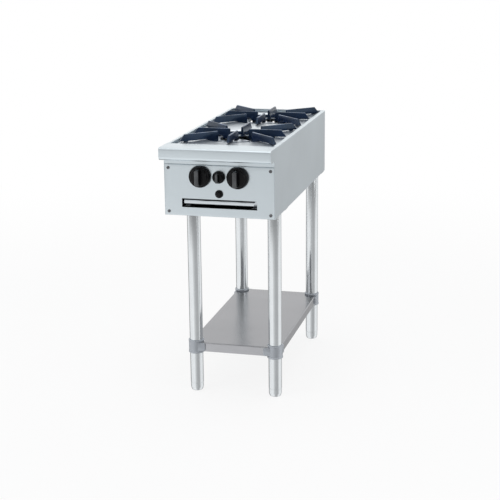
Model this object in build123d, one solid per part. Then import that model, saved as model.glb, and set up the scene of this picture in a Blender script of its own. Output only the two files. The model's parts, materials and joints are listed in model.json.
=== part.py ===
from build123d import *
import math
import os

# Two-burner open-top gas range on a four-legged stand. Millimetres.
# Origin on the floor below the middle of the overall box, +Z up, front towards -Y, +X to the right.

# ---- driving dimensions: whole object
rim_height = 746.0  # floor to the rim round the cooking top
body_width = 305.0
body_depth = 735.0  # nose of the front ledge to the outer face of the back panel
cabinet_height = 191.0  # underside of the cabinet to the rim
inlet_projection = 16.0  # gas inlet pipe behind the back panel

# ---- sheet metal
skin = 1.2  # outer panels, deck and shelf
base_sheet = 1.5
tray_sheet = 1.0
rail_sheet = 2.0
bend = 1.5  # inside radius of a fold
seam = 0.3  # gap between sheets that meet edge to edge
past = 1.0  # how far a cut reaches beyond what it cuts

# ---- front ledge with its bullnose
hood_projection = 44.0  # nose in front of the control panel
hood_height = 34.0
nose_top_radius = 6.0
nose_bottom_radius = 10.0
ledge_depth = 75.0  # nose to the front edge of the deck
ledge_flange = 18.0

# ---- cabinet panels
panel_height = 141.0
panel_flange = 12.0
front_return = 16.0  # inward flange that takes the control panel's screws
rim_width = 10.0
base_rim = 15.0
screw_inset_side = 11.5
screw_inset_end = 11.0
screw_radius = 2.2
screw_head_radius = 4.5
screw_head_height = 2.6
screw_crown = 1.8
screw_length = 10.0
screw_clearance = 0.05
vent_width = 6.0
vent_length = 46.0
vent_count = 9
vent_pitch = 24.0
vent_drop = 62.0  # rim to the middle of the row of vents

# ---- cooking deck and its wells
deck_recess = 8.0
deck_flange = 18.0
front_burner_setback = 220.0  # control panel face to the front burner's axis
burner_spacing = 322.0
well_radius = 106.0
well_slope = 6.0
well_depth = 10.0
well_margin = 5.0
well_hole_radius = 56.0
well_collar = 4.0

# ---- grates
ring_gap = 1.5  # ring to the wall of its well
ring_width = 8.0
ring_height = 8.0
ring_edge = 1.5
blade_top_width = 5.0
blade_root_width = 10.0  # drafted sides, widest at the lowest underside
blade_edge = 1.0  # rounding along the top
blade_height = 21.0  # top above the deck
blade_bottom = 2.0  # underside above the deck
blade_drop = 7.0  # lower stretches, inside the well, below the deck
blade_slope = 6.0  # run of the step between the two undersides
blade_corner = 2.0
blade_nose_run = 14.0
blade_toe = 1.5
blade_toe_run = 3.0
straight_inner = 27.0
straight_tip_side = 134.0
straight_tip_front = 128.0
corner_inner = 70.0
corner_tip_side = 134.0
corner_tip_front = 132.0
hook_run = 18.0  # low stretch at the inner end of a straight blade
foot_run = 12.0
foot_slope = 1.0
foot_gap = 0.3

# ---- burners
head_radius = 40.0
head_height = 22.0
head_drop = 12.0  # deck to the top of the burner head
head_wall = 5.0
head_shoulder = 13.6  # top of the drum's straight side
head_chamfer = 3.0
head_crown_radius = 18.0
head_crown_rounding = 12.0
spigot_radius = 25.0
spigot_length = 8.0
spigot_clearance = 0.2
port_count = 24
port_width = 2.2
port_height = 5.0
bowl_radius = 34.0
bowl_depth = 20.0
bowl_wall = 4.0
bowl_neck = 1.0  # bowl's floor wider than the riser below it
venturi_radius = 15.0
venturi_wall = 3.5
venturi_mouth_radius = 21.0
venturi_mouth_length = 18.0
venturi_bend = 28.0
venturi_rise_bend = 20.0
venturi_jog_length = 62.0
venturi_jog_end = 45.0  # end of the jog in front of the burner's axis
foot_pad = 5.0
foot_pad_width = 24.0
burner_rail_height = 16.0
burner_rail_width = 34.0
burner_rail_tab = 14.0

# ---- controls and gas train, measured back from the control panel's face
control_height = 109.5  # above the underside of the cabinet
knob_spacing = 104.0
manifold_setback = 48.0
manifold_rise = 38.0  # manifold above the valves
pipe_radius = 13.35
pipe_wall = 2.9
pipe_side_gap = 8.0
pipe_bend = 24.0
pipe_collar = 4.0
pipe_collar_length = 14.0
pipe_fit = 0.05
inlet_thread_radius = 13.0  # threaded end of the inlet, threads left plain
inlet_thread_length = 14.0
manifold_end = 100.0  # right-hand end from the middle
manifold_plate = 3.0
manifold_plate_size = 34.0
valve_radius = 11.0
valve_length = 48.0
valve_front = 14.0  # body starts this far behind the panel's face
valve_nose_radius = 6.5
valve_nose_proud = 1.0
valve_nipple_radius = 6.0
valve_outlet_radius = 5.0
valve_outlet_length = 9.0
valve_end_step = 6.0  # length of the barrel's narrower end
valve_end_share = 0.8  # its radius, as a share of the barrel's
valve_shoulder = 4.0
valve_hexagon_share = 1.12
valve_hexagon_start = 0.55  # rear and length of the hexagon, as shares of the barrel's length
valve_hexagon_length = 0.3
stem_radius = 4.0
stem_flat = 1.2
stem_depth = 12.0
stem_reach = 20.0  # in front of the panel
stem_fit = 0.05
panel_hole_gap = 1.0
injector_radius = 8.0
injector_length = 13.0
injector_bore = 1.2
injector_gap = 5.0  # injector to the mouth of its venturi
injector_nose_share = 0.45  # small end, and length of the cone, as shares of the radius and length
injector_overlap = 2.0  # valve outlet that stays bare in front of the injector
pilot_valve_radius = 8.0
pilot_valve_length = 44.0
pilot_nose_radius = 5.0
pilot_nipple_radius = 4.0
pilot_stem_radius = 3.0
pilot_tube_radius = 3.0
pilot_tube_bend = 12.0
pilot_tube_level = 34.0  # above the valves
pilot_tube_start = 24.0  # straight out of the valve
pilot_tube_climb = 18.0  # run in which it rises to its level
pilot_side_start = 22.0  # the same for the rear burner's tube, which leaves the valve's side
pilot_side_climb = 16.0
pilot_side_shift = 42.0  # run in which it moves aside
pilot_side_bend = 8.4
pilot_side_run = 75.0  # rear pilot tube from the middle
pilot_offset = 48.0  # pilot in front of the burner's axis
pilot_radius = 4.5
pilot_height = 20.0
pilot_cone = 4.0
pilot_cap_low = 12.0
pilot_cap_high = 15.0

# ---- knobs
knob_gap = 2.0  # back of a knob to the panel
knob_radius = 30.0
knob_skirt = 11.0
knob_step_radius = 23.0
knob_step = 5.0
knob_bar_length = 47.0
knob_bar_width = 15.0
knob_bar_height = 20.0
pilot_knob_radius = 17.0
pilot_knob_skirt = 8.0
pilot_knob_step_radius = 12.5
pilot_knob_step = 4.0
pilot_knob_bar_length = 27.0
pilot_knob_bar_width = 9.5
pilot_knob_bar_height = 15.0
knob_crown = 2.0
knob_rim_share = 0.35  # straight part of the skirt, as a share of its height
knob_rim_taper = 0.93
knob_end_share = 0.42  # rounding of the bar's ends, as a share of its width
knob_bar_draft = 4.0  # degrees

# ---- spark igniter
igniter_height = 63.5  # above the underside of the cabinet
bezel_radius = 11.0
bezel_height = 3.5
igniter_barrel_radius = 8.2
igniter_barrel_length = 45.0
igniter_hole_gap = 0.3
button_radius = 6.2
button_fit = 0.08
button_proud = 4.5
button_travel = 4.0
button_seat = 3.0
igniter_nut_width = 24.0
igniter_nut_height = 5.0
terminal_radius = 2.0
terminal_length = 6.0
lead_radius = 2.2
lead_straight_run = 28.0  # out of the terminal
lead_side_run = 22.0  # run in which it moves aside
lead_side_rise = 8.0
lead_down_run = 30.0
lead_over_burner = 4.0  # above the mixing tube
lead_bends = [14.0, 16.0, 14.0]
lead_end_bend = 10.0
electrode_radius = 3.5
electrode_length = 26.0
electrode_wire_radius = 1.1
electrode_wire_length = 8.0
electrode_side = 16.0

# ---- drip tray
slot_side_margin = 48.5  # side of the cabinet to the end of the slot
slot_height = 24.0
slot_bottom = 23.5  # above the underside of the cabinet
tray_side_gap = 3.5
tray_lift = 1.8  # underside of the tray above the slot's lower edge
tray_depth = 580.0
tray_height = 19.0
tray_inset = 26.0  # front wall behind the panel's face
tray_corner = 4.0
lip_proud = 3.0
lip_drop = 9.0
runner_flange = 14.0
runner_gap = 0.3

# ---- stand
leg_radius = 19.05
leg_wall = 1.5
leg_inset_side = 35.6  # leg axis inside the cabinet's side
leg_setback_front = 144.5  # front leg axis behind the control panel's face
leg_inset_back = 24.5  # rear leg axis in front of the back
mount_plate = 3.0
mount_plate_width = 68.0
mount_plate_depth = 46.0
mount_spigot = 45.0
mount_corner = 6.0
tube_fit = 0.1
bolt_radius = 3.0
bolt_head_radius = 5.0
bolt_head_height = 3.5
bolt_spacing_side = 50.0
bolt_spacing_depth = 32.0
shelf_height = 149.0  # floor to the shelf's top face
shelf_edge = 26.0
shelf_overhang = 15.0  # shelf edge outside the leg axis
clamp_wall = 3.6
clamp_height = 39.0
clamp_above = 6.0  # top of the clamp above the shelf
clamp_edge = 2.0
clamp_wing = 31.0
clamp_wing_thickness = 4.5
clamp_wing_height = 24.0
clamp_screw_reach = 27.0  # screw from the leg's axis, along the wing
clamp_screw_bite = 3.5  # screw inside the wing
clamp_fit = 0.1
notch_gap = 0.4
foot_radius = 18.6
foot_height = 24.0
foot_sole_radius = 15.5
foot_sole_edge = 4.0
foot_curve = 10.0  # sole to the foot's full width
foot_curve_edge = 9.0
foot_rim = 0.6
foot_screw_radius = 6.0
foot_travel = 20.0
foot_hold = 26.0  # screw left in its insert with the foot fully out
insert_length = 32.0
insert_fit = 0.05

# ---- derived places
half_width = body_width / 2
inner_half = half_width - skin
slot_width = body_width - 2 * slot_side_margin
front = -(body_depth + inlet_projection) / 2
back = front + body_depth
panel_face = front + hood_projection
base = rim_height - cabinet_height
panel_top = base + panel_height
hood_back = front + ledge_depth
hood_under = rim_height - hood_height
deck = rim_height - deck_recess
well_floor = deck - well_depth
burner_rows = {
    "front": panel_face + front_burner_setback,
    "rear": panel_face + front_burner_setback + burner_spacing,
}
control_level = base + control_height
manifold_y = panel_face + manifold_setback
manifold_level = control_level + manifold_rise
head_top = deck - head_drop
bowl_top = head_top - head_height
tray_floor = base + slot_bottom + tray_lift
leg_x = half_width - leg_inset_side
leg_rows = {"front": panel_face + leg_setback_front, "rear": back - leg_inset_back}
foot_screw_length = foot_travel + foot_hold
sides = {"left": -1, "right": 1}


# ---- helpers
def block(x_low, x_high, y_low, y_high, z_low, z_high):
    size = Box(x_high - x_low, y_high - y_low, z_high - z_low)
    return Pos((x_low + x_high) / 2, (y_low + y_high) / 2, (z_low + z_high) / 2) * size


def outline(points, radii=0.0):
    """Closed face through the points, each corner rounded by its radius."""
    if isinstance(radii, (int, float)):
        radii = [radii] * len(points)
    return make_face(FilletPolyline(*points, radius=radii, close=True))


def folded(points, thickness, bends=bend):
    """Section of a folded sheet: the points run along its outer side, the metal lies to their left."""
    if isinstance(bends, (int, float)):
        bends = [bends] * (len(points) - 2)
    path = [Vector(*point) for point in points]
    runs = [(after - before).normalized() for before, after in zip(path, path[1:])]
    lefts = [Vector(-run.Y, run.X) for run in runs]
    inside = [path[0] + lefts[0] * thickness]
    outer_radii, inner_radii = [0.0], [0.0]
    for corner, near, far, turn_in, turn_out, radius in zip(
        path[1:-1], lefts, lefts[1:], runs, runs[1:], bends
    ):
        mitre = (near + far) * (thickness / (1 + near.dot(far)))
        inside.append(corner + mitre)
        turns_left = turn_in.X * turn_out.Y - turn_in.Y * turn_out.X > 0
        outer_radii.append(radius + thickness if turns_left else radius)
        inner_radii.append(radius if turns_left else radius + thickness)
    inside.append(path[-1] + lefts[-1] * thickness)
    corners = path + inside[::-1]
    radii = outer_radii + [0.0, 0.0] + inner_radii[::-1][:-1] + [0.0]
    return outline([(corner.X, corner.Y) for corner in corners], radii)


def across(section, x_low, x_high):
    """Carry a section drawn in (Y, Z) from one side to the other."""
    return Pos(x_low, 0, 0) * extrude(Plane.YZ * section, amount=x_high - x_low)


def along(section, y_low, y_high):
    """Carry a section drawn in (X, Z) from front to back."""
    return Pos(0, y_high, 0) * extrude(Plane.XZ * section, amount=y_high - y_low)


def rod(radius, start, end):
    run = Vector(*end) - Vector(*start)
    return extrude(Plane(origin=start, z_dir=run) * Circle(radius), amount=run.length)


def tube(radius, points, radii):
    """Round bar along straight runs joined by tangent arcs."""
    path = FilletPolyline(*points, radius=radii)
    section = Plane(origin=path @ 0, z_dir=path % 0) * Circle(radius)
    return sweep(section, path=path)


def turned(points, radii=0.0):
    """Solid turned about Z from an outline in (radius, height)."""
    return revolve(Plane.XZ * outline(points, radii), axis=Axis.Z)


def pan(x_half, y_low, y_high, floor, lip, thickness):
    """Sheet with its four edges folded from the outer face of its floor to the lip, up or down."""
    turn = 1 if lip > floor else -1
    outer = block(-x_half, x_half, y_low, y_high, min(floor, lip), max(floor, lip))
    inner_floor, inner_lip = floor + turn * thickness, lip + turn
    inner = block(
        thickness - x_half, x_half - thickness, y_low + thickness, y_high - thickness,
        min(inner_floor, inner_lip), max(inner_floor, inner_lip),
    )
    pick = 0 if turn > 0 else -1
    outer = fillet(outer.faces().sort_by(Axis.Z)[pick].edges(), thickness + bend)
    inner = fillet(inner.faces().sort_by(Axis.Z)[pick].edges(), bend)
    return outer - inner


def on_panel(x, height):
    """Place on the control panel: local X right, Y up, Z out towards the cook."""
    return Pos(x, panel_face, base + height) * Rot(90, 0, 0)


# ---- cabinet
def side_panel():
    """Right-hand side: rim folded in on top, end cap for the ledge, screw flange at the front."""
    wall = block(inner_half, half_width, panel_face, hood_back + seam, base, rim_height)
    rim_fold = [(half_width, base), (half_width, rim_height), (half_width - rim_width, rim_height)]
    wall += along(folded(rim_fold, skin), hood_back + seam, back)
    cap_back = panel_face + skin
    cap = [(front, hood_under), (cap_back, hood_under), (cap_back, rim_height), (front, rim_height)]
    wall += across(outline(cap, [nose_bottom_radius, 0, 0, nose_top_radius]), inner_half, half_width)
    flange_clear = skin + bend + seam
    flange = block(
        inner_half - front_return, inner_half, panel_face + skin, panel_face + 2 * skin,
        base + flange_clear, panel_top - flange_clear,
    )
    return wall + flange - panel_screw_holes(screw_radius + screw_clearance)


def panel_screw_places():
    x = half_width - screw_inset_side
    heights = (base + screw_inset_end, panel_top - screw_inset_end)
    return [(side * x, panel_face, height) for side in sides.values() for height in heights]


def panel_screw_holes(radius):
    return Part() + [
        rod(radius, (x, y - skin, z), (x, y + screw_length, z)) for x, y, z in panel_screw_places()
    ]


def panel_screws():
    profile = [
        (0, -screw_length), (screw_radius, -screw_length), (screw_radius, 0), (screw_head_radius, 0),
        (screw_head_radius, screw_head_height), (0, screw_head_height),
    ]
    screw = turned(profile, [0, 0, 0, 0, screw_crown, 0])
    return [Pos(x, y, z) * Rot(90, 0, 0) * screw for x, y, z in panel_screw_places()]


def back_panel():
    flange_end = back - rim_width
    wall = across(
        folded([(back, base), (back, rim_height), (flange_end, rim_height)], skin), -inner_half, inner_half
    )
    corner = half_width - rim_width - seam
    notch_floor = rim_height - skin - bend - seam
    for side in sides.values():
        x_low, x_high = sorted((side * corner, side * half_width))
        wall -= block(x_low, x_high, flange_end - skin, back + skin, notch_floor, rim_height + skin)
    vent = Plane.XZ * SlotOverall(vent_length, vent_width, rotation=90)
    row = rim_height - vent_drop
    for index in range(vent_count):
        x = (index - (vent_count - 1) / 2) * vent_pitch - pipe_radius
        wall -= Pos(x, back + skin, row) * extrude(vent, amount=3 * skin)
    x, y, z = inlet_end()
    return wall - rod(pipe_radius + panel_hole_gap, (x, back - 2 * skin, z), (x, back + skin, z))


def base_pan():
    front_edge = panel_face + panel_flange + seam
    floor = pan(inner_half, front_edge, back - skin, base, base + base_rim, base_sheet)
    for x, y in bolt_places():
        hole = bolt_radius + screw_clearance
        floor -= rod(hole, (x, y, base - base_sheet), (x, y, base + 2 * base_sheet))
    return floor


def front_control_panel():
    half = inner_half - seam
    shelf_end = panel_face + panel_flange
    fold = [
        (shelf_end, panel_top), (panel_face, panel_top), (panel_face, base), (shelf_end, base),
    ]
    panel = across(folded(fold, skin), -half, half)
    slot_low = base + slot_bottom
    panel -= block(
        -slot_width / 2, slot_width / 2, panel_face - skin, panel_face + 2 * skin,
        slot_low, slot_low + slot_height,
    )
    holes = [
        (-knob_spacing / 2, control_height, valve_nose_radius + panel_hole_gap),
        (knob_spacing / 2, control_height, valve_nose_radius + panel_hole_gap),
        (0, control_height, pilot_nose_radius + panel_hole_gap),
        (0, igniter_height, igniter_barrel_radius + igniter_hole_gap),
    ]
    for x, height, radius in holes:
        panel -= on_panel(x, height) * Cylinder(radius, 4 * skin)
    return panel - panel_screw_holes(screw_radius + screw_clearance)


def front_hood():
    """Ledge, rounded nose, underside and the strip above the control panel, folded from one sheet."""
    fold = [
        (hood_back, rim_height - ledge_flange), (hood_back, rim_height), (front, rim_height),
        (front, hood_under), (panel_face, hood_under), (panel_face, panel_top + seam),
    ]
    bends = [bend, nose_top_radius - skin, nose_bottom_radius - skin, bend]
    return across(folded(fold, skin, bends), -inner_half, inner_half)


def burner_deck():
    deck_back = back - skin
    plate = pan(inner_half, hood_back, deck_back, deck, deck - deck_flange, skin)
    well_wall = well_radius - well_slope
    dish = folded(
        [
            (well_radius + well_margin, deck), (well_radius, deck), (well_wall, well_floor),
            (well_hole_radius, well_floor), (well_hole_radius, well_floor + well_collar),
        ],
        skin,
    )
    well = revolve(Plane.XZ * dish, axis=Axis.Z)
    for row in burner_rows.values():
        opening = rod(well_radius + well_margin, (0, row, deck - 3 * skin), (0, row, deck + skin))
        plate = plate - opening + Pos(0, row, 0) * well
    return plate


# ---- grates
def ring_radii():
    outer = well_radius - well_slope - ring_gap
    return outer - ring_width, outer


def blade(inner, tip, low_stretches, has_foot):
    """One blade along +X: drafted sides, flat top, sloping nose, low stretches inside the well."""
    top, bottom, low = deck + blade_height, deck + blade_bottom, deck - blade_drop
    points = [(tip - blade_nose_run, top), (tip, bottom + blade_toe), (tip - blade_toe_run, bottom)]
    radii = [blade_corner, blade_edge, 0]
    if has_foot:
        sole, heel, toe = deck + foot_gap, tip - 2 * foot_run, tip - foot_run
        points += [(toe, bottom), (toe - foot_slope, sole), (heel + foot_slope, sole), (heel, bottom)]
        radii += [0, 0, 0, 0]
    for start, end in low_stretches:
        points += [(end + blade_slope, bottom), (end, low), (start, low)]
        radii += [blade_corner] * 3
        if start > inner:
            points.append((start - blade_slope, bottom))
            radii.append(blade_corner)
    points.append((inner, top))
    radii.append(blade_corner)
    side_view = Plane.XZ * outline(points, radii)
    wedge = outline(
        [
            (-blade_root_width / 2, low - past), (blade_root_width / 2, low - past),
            (blade_top_width / 2, top), (-blade_top_width / 2, top),
        ],
        [0, 0, blade_edge, blade_edge],
    )
    return extrude(side_view, amount=blade_root_width, both=True) & across(wedge, inner - past, tip + past)


def grate():
    """Cast grate: a ring in the well carries eight blades."""
    inner, outer = ring_radii()
    top = well_floor + ring_height
    casting = turned(
        [(inner, well_floor), (outer, well_floor), (outer, top), (inner, top)], ring_edge
    )
    on_ring = (inner, outer - ring_edge)
    for angle, tip in ((0, straight_tip_side), (90, straight_tip_front)):
        fin = blade(straight_inner, tip, [on_ring, (straight_inner, straight_inner + hook_run)], False)
        casting += [Rot(0, 0, angle) * fin, Rot(0, 0, angle + 180) * fin]
    corner_angle = math.degrees(math.atan2(corner_tip_front, corner_tip_side))
    reach = math.hypot(corner_tip_side, corner_tip_front)
    corner = blade(corner_inner, reach, [(corner_inner, outer - ring_edge)], True)
    for angle in (corner_angle, 180 - corner_angle, 180 + corner_angle, -corner_angle):
        casting += Rot(0, 0, angle) * corner
    return casting


# ---- burners
def burner_head():
    """Ported head: hollow drum with a domed top and a spigot that drops into the bowl."""
    drum = turned(
        [
            (spigot_radius - head_wall, -spigot_length), (spigot_radius, -spigot_length),
            (spigot_radius, 0), (head_radius - head_chamfer, 0), (head_radius, head_chamfer),
            (head_radius, head_shoulder), (head_crown_radius, head_height), (0, head_height),
            (0, head_shoulder), (head_radius - head_wall, head_shoulder - head_chamfer),
            (head_radius - head_wall, head_wall), (spigot_radius - head_wall, head_wall),
        ],
        [0, 0, 0, 1, 1, 3, head_crown_rounding, 0, 0, 2, 0, 0],
    )
    port_level = head_shoulder - port_height
    port = block(
        head_radius - 2 * head_wall, head_radius + head_wall, -port_width / 2, port_width / 2,
        port_level - port_height / 2, port_level + port_height / 2,
    )
    ports = [Rot(0, 0, index * 360 / port_count) * port for index in range(port_count)]
    return drum - ports


def venturi_route(side, row):
    """Mixing tube: back from its injector, across to the middle, under the burner and up."""
    mouth = panel_face + valve_front + valve_length + valve_outlet_length + injector_length
    mouth += injector_gap
    jog_end = row - venturi_jog_end
    x = side * knob_spacing / 2
    return [
        (x, mouth, control_level), (x, jog_end - venturi_jog_length, control_level),
        (0, jog_end, control_level), (0, row, control_level), (0, row, bowl_top - bowl_depth / 2),
    ]


def burner_body(side, row):
    """Cast mixing tube with a bell mouth, rising into the bowl below the burner head."""
    route = venturi_route(side, row)
    bends = [venturi_bend, venturi_bend, venturi_rise_bend]
    mouth = Vector(*route[0])
    throat = venturi_radius - venturi_wall
    bell = Plane(origin=mouth, z_dir=(0, 1, 0))
    bell_run = venturi_mouth_length / 2
    flare = bell * Pos(0, 0, bell_run) * Cone(
        venturi_mouth_radius, venturi_radius - seam, venturi_mouth_length
    )
    flare_bore = bell * Pos(0, 0, bell_run) * Cone(
        venturi_mouth_radius - venturi_wall, throat - seam, venturi_mouth_length
    )
    bowl_floor = bowl_top - bowl_depth
    bowl = turned(
        [
            (0, bowl_floor - bowl_wall), (venturi_radius + bowl_neck, bowl_floor - bowl_wall),
            (bowl_radius, bowl_floor + bowl_wall), (bowl_radius, bowl_top), (0, bowl_top),
        ],
        [0, 0, 6, 0, 0],
    )
    mouth_radius = spigot_radius + spigot_clearance
    cavity = turned(
        [
            (0, bowl_floor), (throat + bowl_neck, bowl_floor),
            (bowl_radius - bowl_wall, bowl_floor + 1.5 * bowl_wall),
            (bowl_radius - bowl_wall, bowl_top - spigot_length), (mouth_radius, bowl_top - spigot_length),
            (mouth_radius, bowl_top + past), (0, bowl_top + past),
        ],
        [0, 0, 4, 0, 0, 0, 0],
    )
    pad_low = control_level - venturi_radius - foot_pad
    pad = block(
        -foot_pad_width / 2, foot_pad_width / 2, row - foot_pad_width / 2, row + foot_pad_width / 2,
        pad_low, control_level - venturi_radius / 2,
    )
    place = Pos(0, row, 0)
    body = tube(venturi_radius, route, bends) + flare + place * bowl + pad
    return body - tube(throat, route, bends) - flare_bore - place * cavity


def burner_rail(row):
    """Upside-down channel from side to side that carries a burner's foot."""
    top = control_level - venturi_radius - foot_pad
    low = top - burner_rail_height
    near, far = row - burner_rail_width / 2, row + burner_rail_width / 2
    rail = across(
        folded([(far, low), (far, top), (near, top), (near, low)], rail_sheet), -inner_half, inner_half
    )
    for side in sides.values():
        x_low, x_high = sorted((side * inner_half, side * (inner_half - rail_sheet)))
        rail += block(x_low, x_high, near, far, low - burner_rail_tab, top - rail_sheet / 2)
    return rail


# ---- gas train
def inlet_end():
    return (inner_half - pipe_side_gap - pipe_radius, back + inlet_projection, manifold_level)


def gas_manifold():
    """Pipe across the front, carried by a plate on the left side panel, tapped for three valves."""
    start = (-inner_half, manifold_y, manifold_level)
    end = (manifold_end, manifold_y, manifold_level)
    half = manifold_plate_size / 2
    pipe = rod(pipe_radius, start, end)
    pipe += block(
        -inner_half, manifold_plate - inner_half, manifold_y - half, manifold_y + half,
        manifold_level - half, manifold_level + half,
    )
    pipe -= rod(pipe_radius - pipe_wall, (manifold_plate - inner_half, manifold_y, manifold_level), end)
    for x, radius in valve_taps():
        below = manifold_level - 2 * pipe_radius
        pipe -= rod(radius + pipe_fit, (x, manifold_y, below), (x, manifold_y, manifold_level))
    return pipe


def valve_taps():
    half = knob_spacing / 2
    return [(-half, valve_nipple_radius), (half, valve_nipple_radius), (0, pilot_nipple_radius)]


def gas_inlet_pipe():
    """From a collar on the manifold's end, round an elbow and out through the back."""
    x, y, z = inlet_end()
    start = (manifold_end, manifold_y, z)
    route = [start, (x, manifold_y, z), (x, y, z)]
    bore = pipe_radius - pipe_wall
    collar_start = (manifold_end - pipe_collar_length, manifold_y, z)
    collar_end = (manifold_end + pipe_collar, manifold_y, z)
    collar = rod(pipe_radius + pipe_collar, collar_start, collar_end)
    pipe = tube(pipe_radius, route, pipe_elbow()) + collar - tube(bore, route, pipe_elbow())
    socket = rod(pipe_radius + pipe_fit, collar_start, start)
    shoulder = (x, y - inlet_thread_length, z)
    thread_cut = rod(pipe_radius + past, shoulder, (x, y + past, z))
    thread_cut -= rod(inlet_thread_radius, shoulder, (x, y + past, z))
    return pipe - socket - thread_cut


def pipe_elbow():
    return [min(pipe_bend, inlet_end()[0] - manifold_end - seam)]


def gas_cock(x, radius, length, nose, nipple, bore, outlet):
    """Valve: barrel behind the panel, nose through it, nipple up into the manifold, outlet to the rear."""
    barrel_end = -valve_front - length
    body = turned(
        [
            (0, barrel_end), (radius * valve_end_share, barrel_end), (radius, barrel_end + valve_end_step),
            (radius, -valve_front - valve_shoulder), (nose, -valve_front),
            (nose, valve_nose_proud), (0, valve_nose_proud),
        ],
        [0, 1, 1, 1, 0, 0.5, 0],
    )
    hexagon = RegularPolygon(radius * valve_hexagon_share, 6)
    hexagon_place = Pos(0, 0, -valve_front - length * valve_hexagon_start)
    body += hexagon_place * extrude(hexagon, amount=length * valve_hexagon_length)
    if outlet:
        body += rod(valve_outlet_radius, (0, 0, barrel_end + past), (0, 0, barrel_end - outlet))
    socket_end = valve_nose_proud - stem_depth
    body -= rod(bore, (0, 0, socket_end - seam), (0, 0, valve_nose_proud + past))
    nipple_top = manifold_rise - (pipe_radius - pipe_wall)
    body += rod(nipple, (0, 0, -manifold_setback), (0, nipple_top, -manifold_setback))
    return on_panel(x, control_height) * body


def d_shaft(x, radius):
    """Valve stem with a flat, from inside the valve to inside the knob."""
    low = valve_nose_proud - stem_depth
    shaft = rod(radius, (0, 0, low), (0, 0, stem_reach))
    flat = block(-radius, radius, radius - stem_flat, radius, valve_nose_proud + knob_gap, stem_reach)
    return on_panel(x, control_height) * (shaft - flat)


def injectors():
    outlet_end = -valve_front - valve_length - valve_outlet_length
    tip = outlet_end - injector_length
    mouth = outlet_end + valve_outlet_length - injector_overlap
    bore = valve_outlet_radius + pipe_fit
    cup = turned(
        [
            (injector_bore, tip), (injector_radius * injector_nose_share, tip),
            (injector_radius, outlet_end - injector_length * injector_nose_share), (injector_radius, mouth),
            (bore, mouth), (bore, outlet_end - seam), (injector_bore, outlet_end - seam),
        ]
    )
    half = knob_spacing / 2
    return [on_panel(x, control_height) * cup for x in (-half, half)]


def pilot_place(row):
    return (0, row - pilot_offset, head_top - pilot_height)


def pilot_tube_front():
    x, y, z = pilot_place(burner_rows["front"])
    start = panel_face + valve_front + pilot_valve_length
    climb = start + pilot_tube_start
    level = control_level + pilot_tube_level
    route = [
        (0, start, control_level), (0, climb, control_level), (0, climb + pilot_tube_climb, level),
        (0, y, level), (0, y, z),
    ]
    rise = z - level - seam
    return tube(pilot_tube_radius, route, [pilot_tube_bend, pilot_tube_bend, min(pilot_tube_bend, rise)])


def pilot_tube_rear():
    x, y, z = pilot_place(burner_rows["rear"])
    start = panel_face + manifold_setback
    level = control_level + pilot_tube_level
    clear_x = -(knob_spacing / 2 - valve_radius + pilot_valve_radius) / 2
    climb = start + pilot_side_start
    shift = climb + pilot_side_climb
    route = [
        (-pilot_valve_radius, start, control_level), (clear_x, start, control_level),
        (clear_x, climb, control_level), (clear_x, shift, level),
        (-pilot_side_run, shift + pilot_side_shift, level), (-pilot_side_run, y - pilot_side_run / 2, level),
        (0, y, level), (0, y, z),
    ]
    rise = min(pilot_tube_bend, z - level - seam)
    side_bend = min(pilot_tube_bend, -clear_x - pilot_valve_radius - seam)
    bends = [side_bend, pilot_side_bend, pilot_side_bend, pilot_tube_bend, pilot_tube_bend, rise]
    return tube(pilot_tube_radius, route, bends)


def pilot_burner(row):
    x, y, z = pilot_place(row)
    nozzle = turned(
        [
            (0, 0), (pilot_tube_radius, 0), (pilot_radius, pilot_cone), (pilot_radius, pilot_cap_low),
            (pilot_tube_radius, pilot_cap_high), (pilot_tube_radius, pilot_height), (0, pilot_height),
        ],
        [0, 0, 1, 0, 0, 1, 0],
    )
    return Pos(x, y, z) * nozzle


# ---- controls
def bar_knob(radius, skirt, step_radius, step, bar_length, bar_width, bar_height, bore):
    """Round skirt, raised disc and a bar grip that stands upright when the gas is off."""
    top = skirt + step
    body = turned(
        [
            (0, 0), (radius, 0), (radius, skirt * knob_rim_share), (radius * knob_rim_taper, skirt),
            (step_radius, skirt), (step_radius, top), (0, top),
        ],
        [0, 1, 2, 2, 0, knob_crown, 0],
    )
    grip = outline(
        [
            (-bar_width / 2, -bar_length / 2), (bar_width / 2, -bar_length / 2),
            (bar_width / 2, bar_length / 2), (-bar_width / 2, bar_length / 2),
        ],
        bar_width * knob_end_share,
    )
    bar = Pos(0, 0, skirt) * extrude(grip, amount=step + bar_height, taper=knob_bar_draft)
    bar = fillet(bar.faces().sort_by(Axis.Z)[-1].edges(), knob_crown)
    body += bar
    socket = rod(bore, (0, 0, -past), (0, 0, stem_reach - knob_gap + seam))
    return body - socket


def placed_knob(x, small=False):
    if small:
        knob = bar_knob(
            pilot_knob_radius, pilot_knob_skirt, pilot_knob_step_radius, pilot_knob_step,
            pilot_knob_bar_length, pilot_knob_bar_width, pilot_knob_bar_height,
            pilot_stem_radius + stem_fit,
        )
    else:
        knob = bar_knob(
            knob_radius, knob_skirt, knob_step_radius, knob_step, knob_bar_length, knob_bar_width,
            knob_bar_height, stem_radius + stem_fit,
        )
    return on_panel(x, control_height) * Pos(0, 0, knob_gap) * knob


def igniter_body():
    """Bezel, threaded barrel and rear terminal of the spark igniter."""
    bore = button_radius + button_fit
    floor = -button_seat - button_travel - past
    rear = -igniter_barrel_length
    terminal_end = rear - terminal_length
    shell = turned(
        [
            (0, terminal_end), (terminal_radius, terminal_end), (terminal_radius, rear),
            (igniter_barrel_radius, rear), (igniter_barrel_radius, 0), (bezel_radius, 0),
            (bezel_radius, bezel_height), (bore, bezel_height), (bore, floor), (0, floor),
        ],
        [0, 0, 0, 1, 0, 0.5, 1.5, 0.3, 0, 0],
    )
    return on_panel(0, igniter_height) * shell


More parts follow.
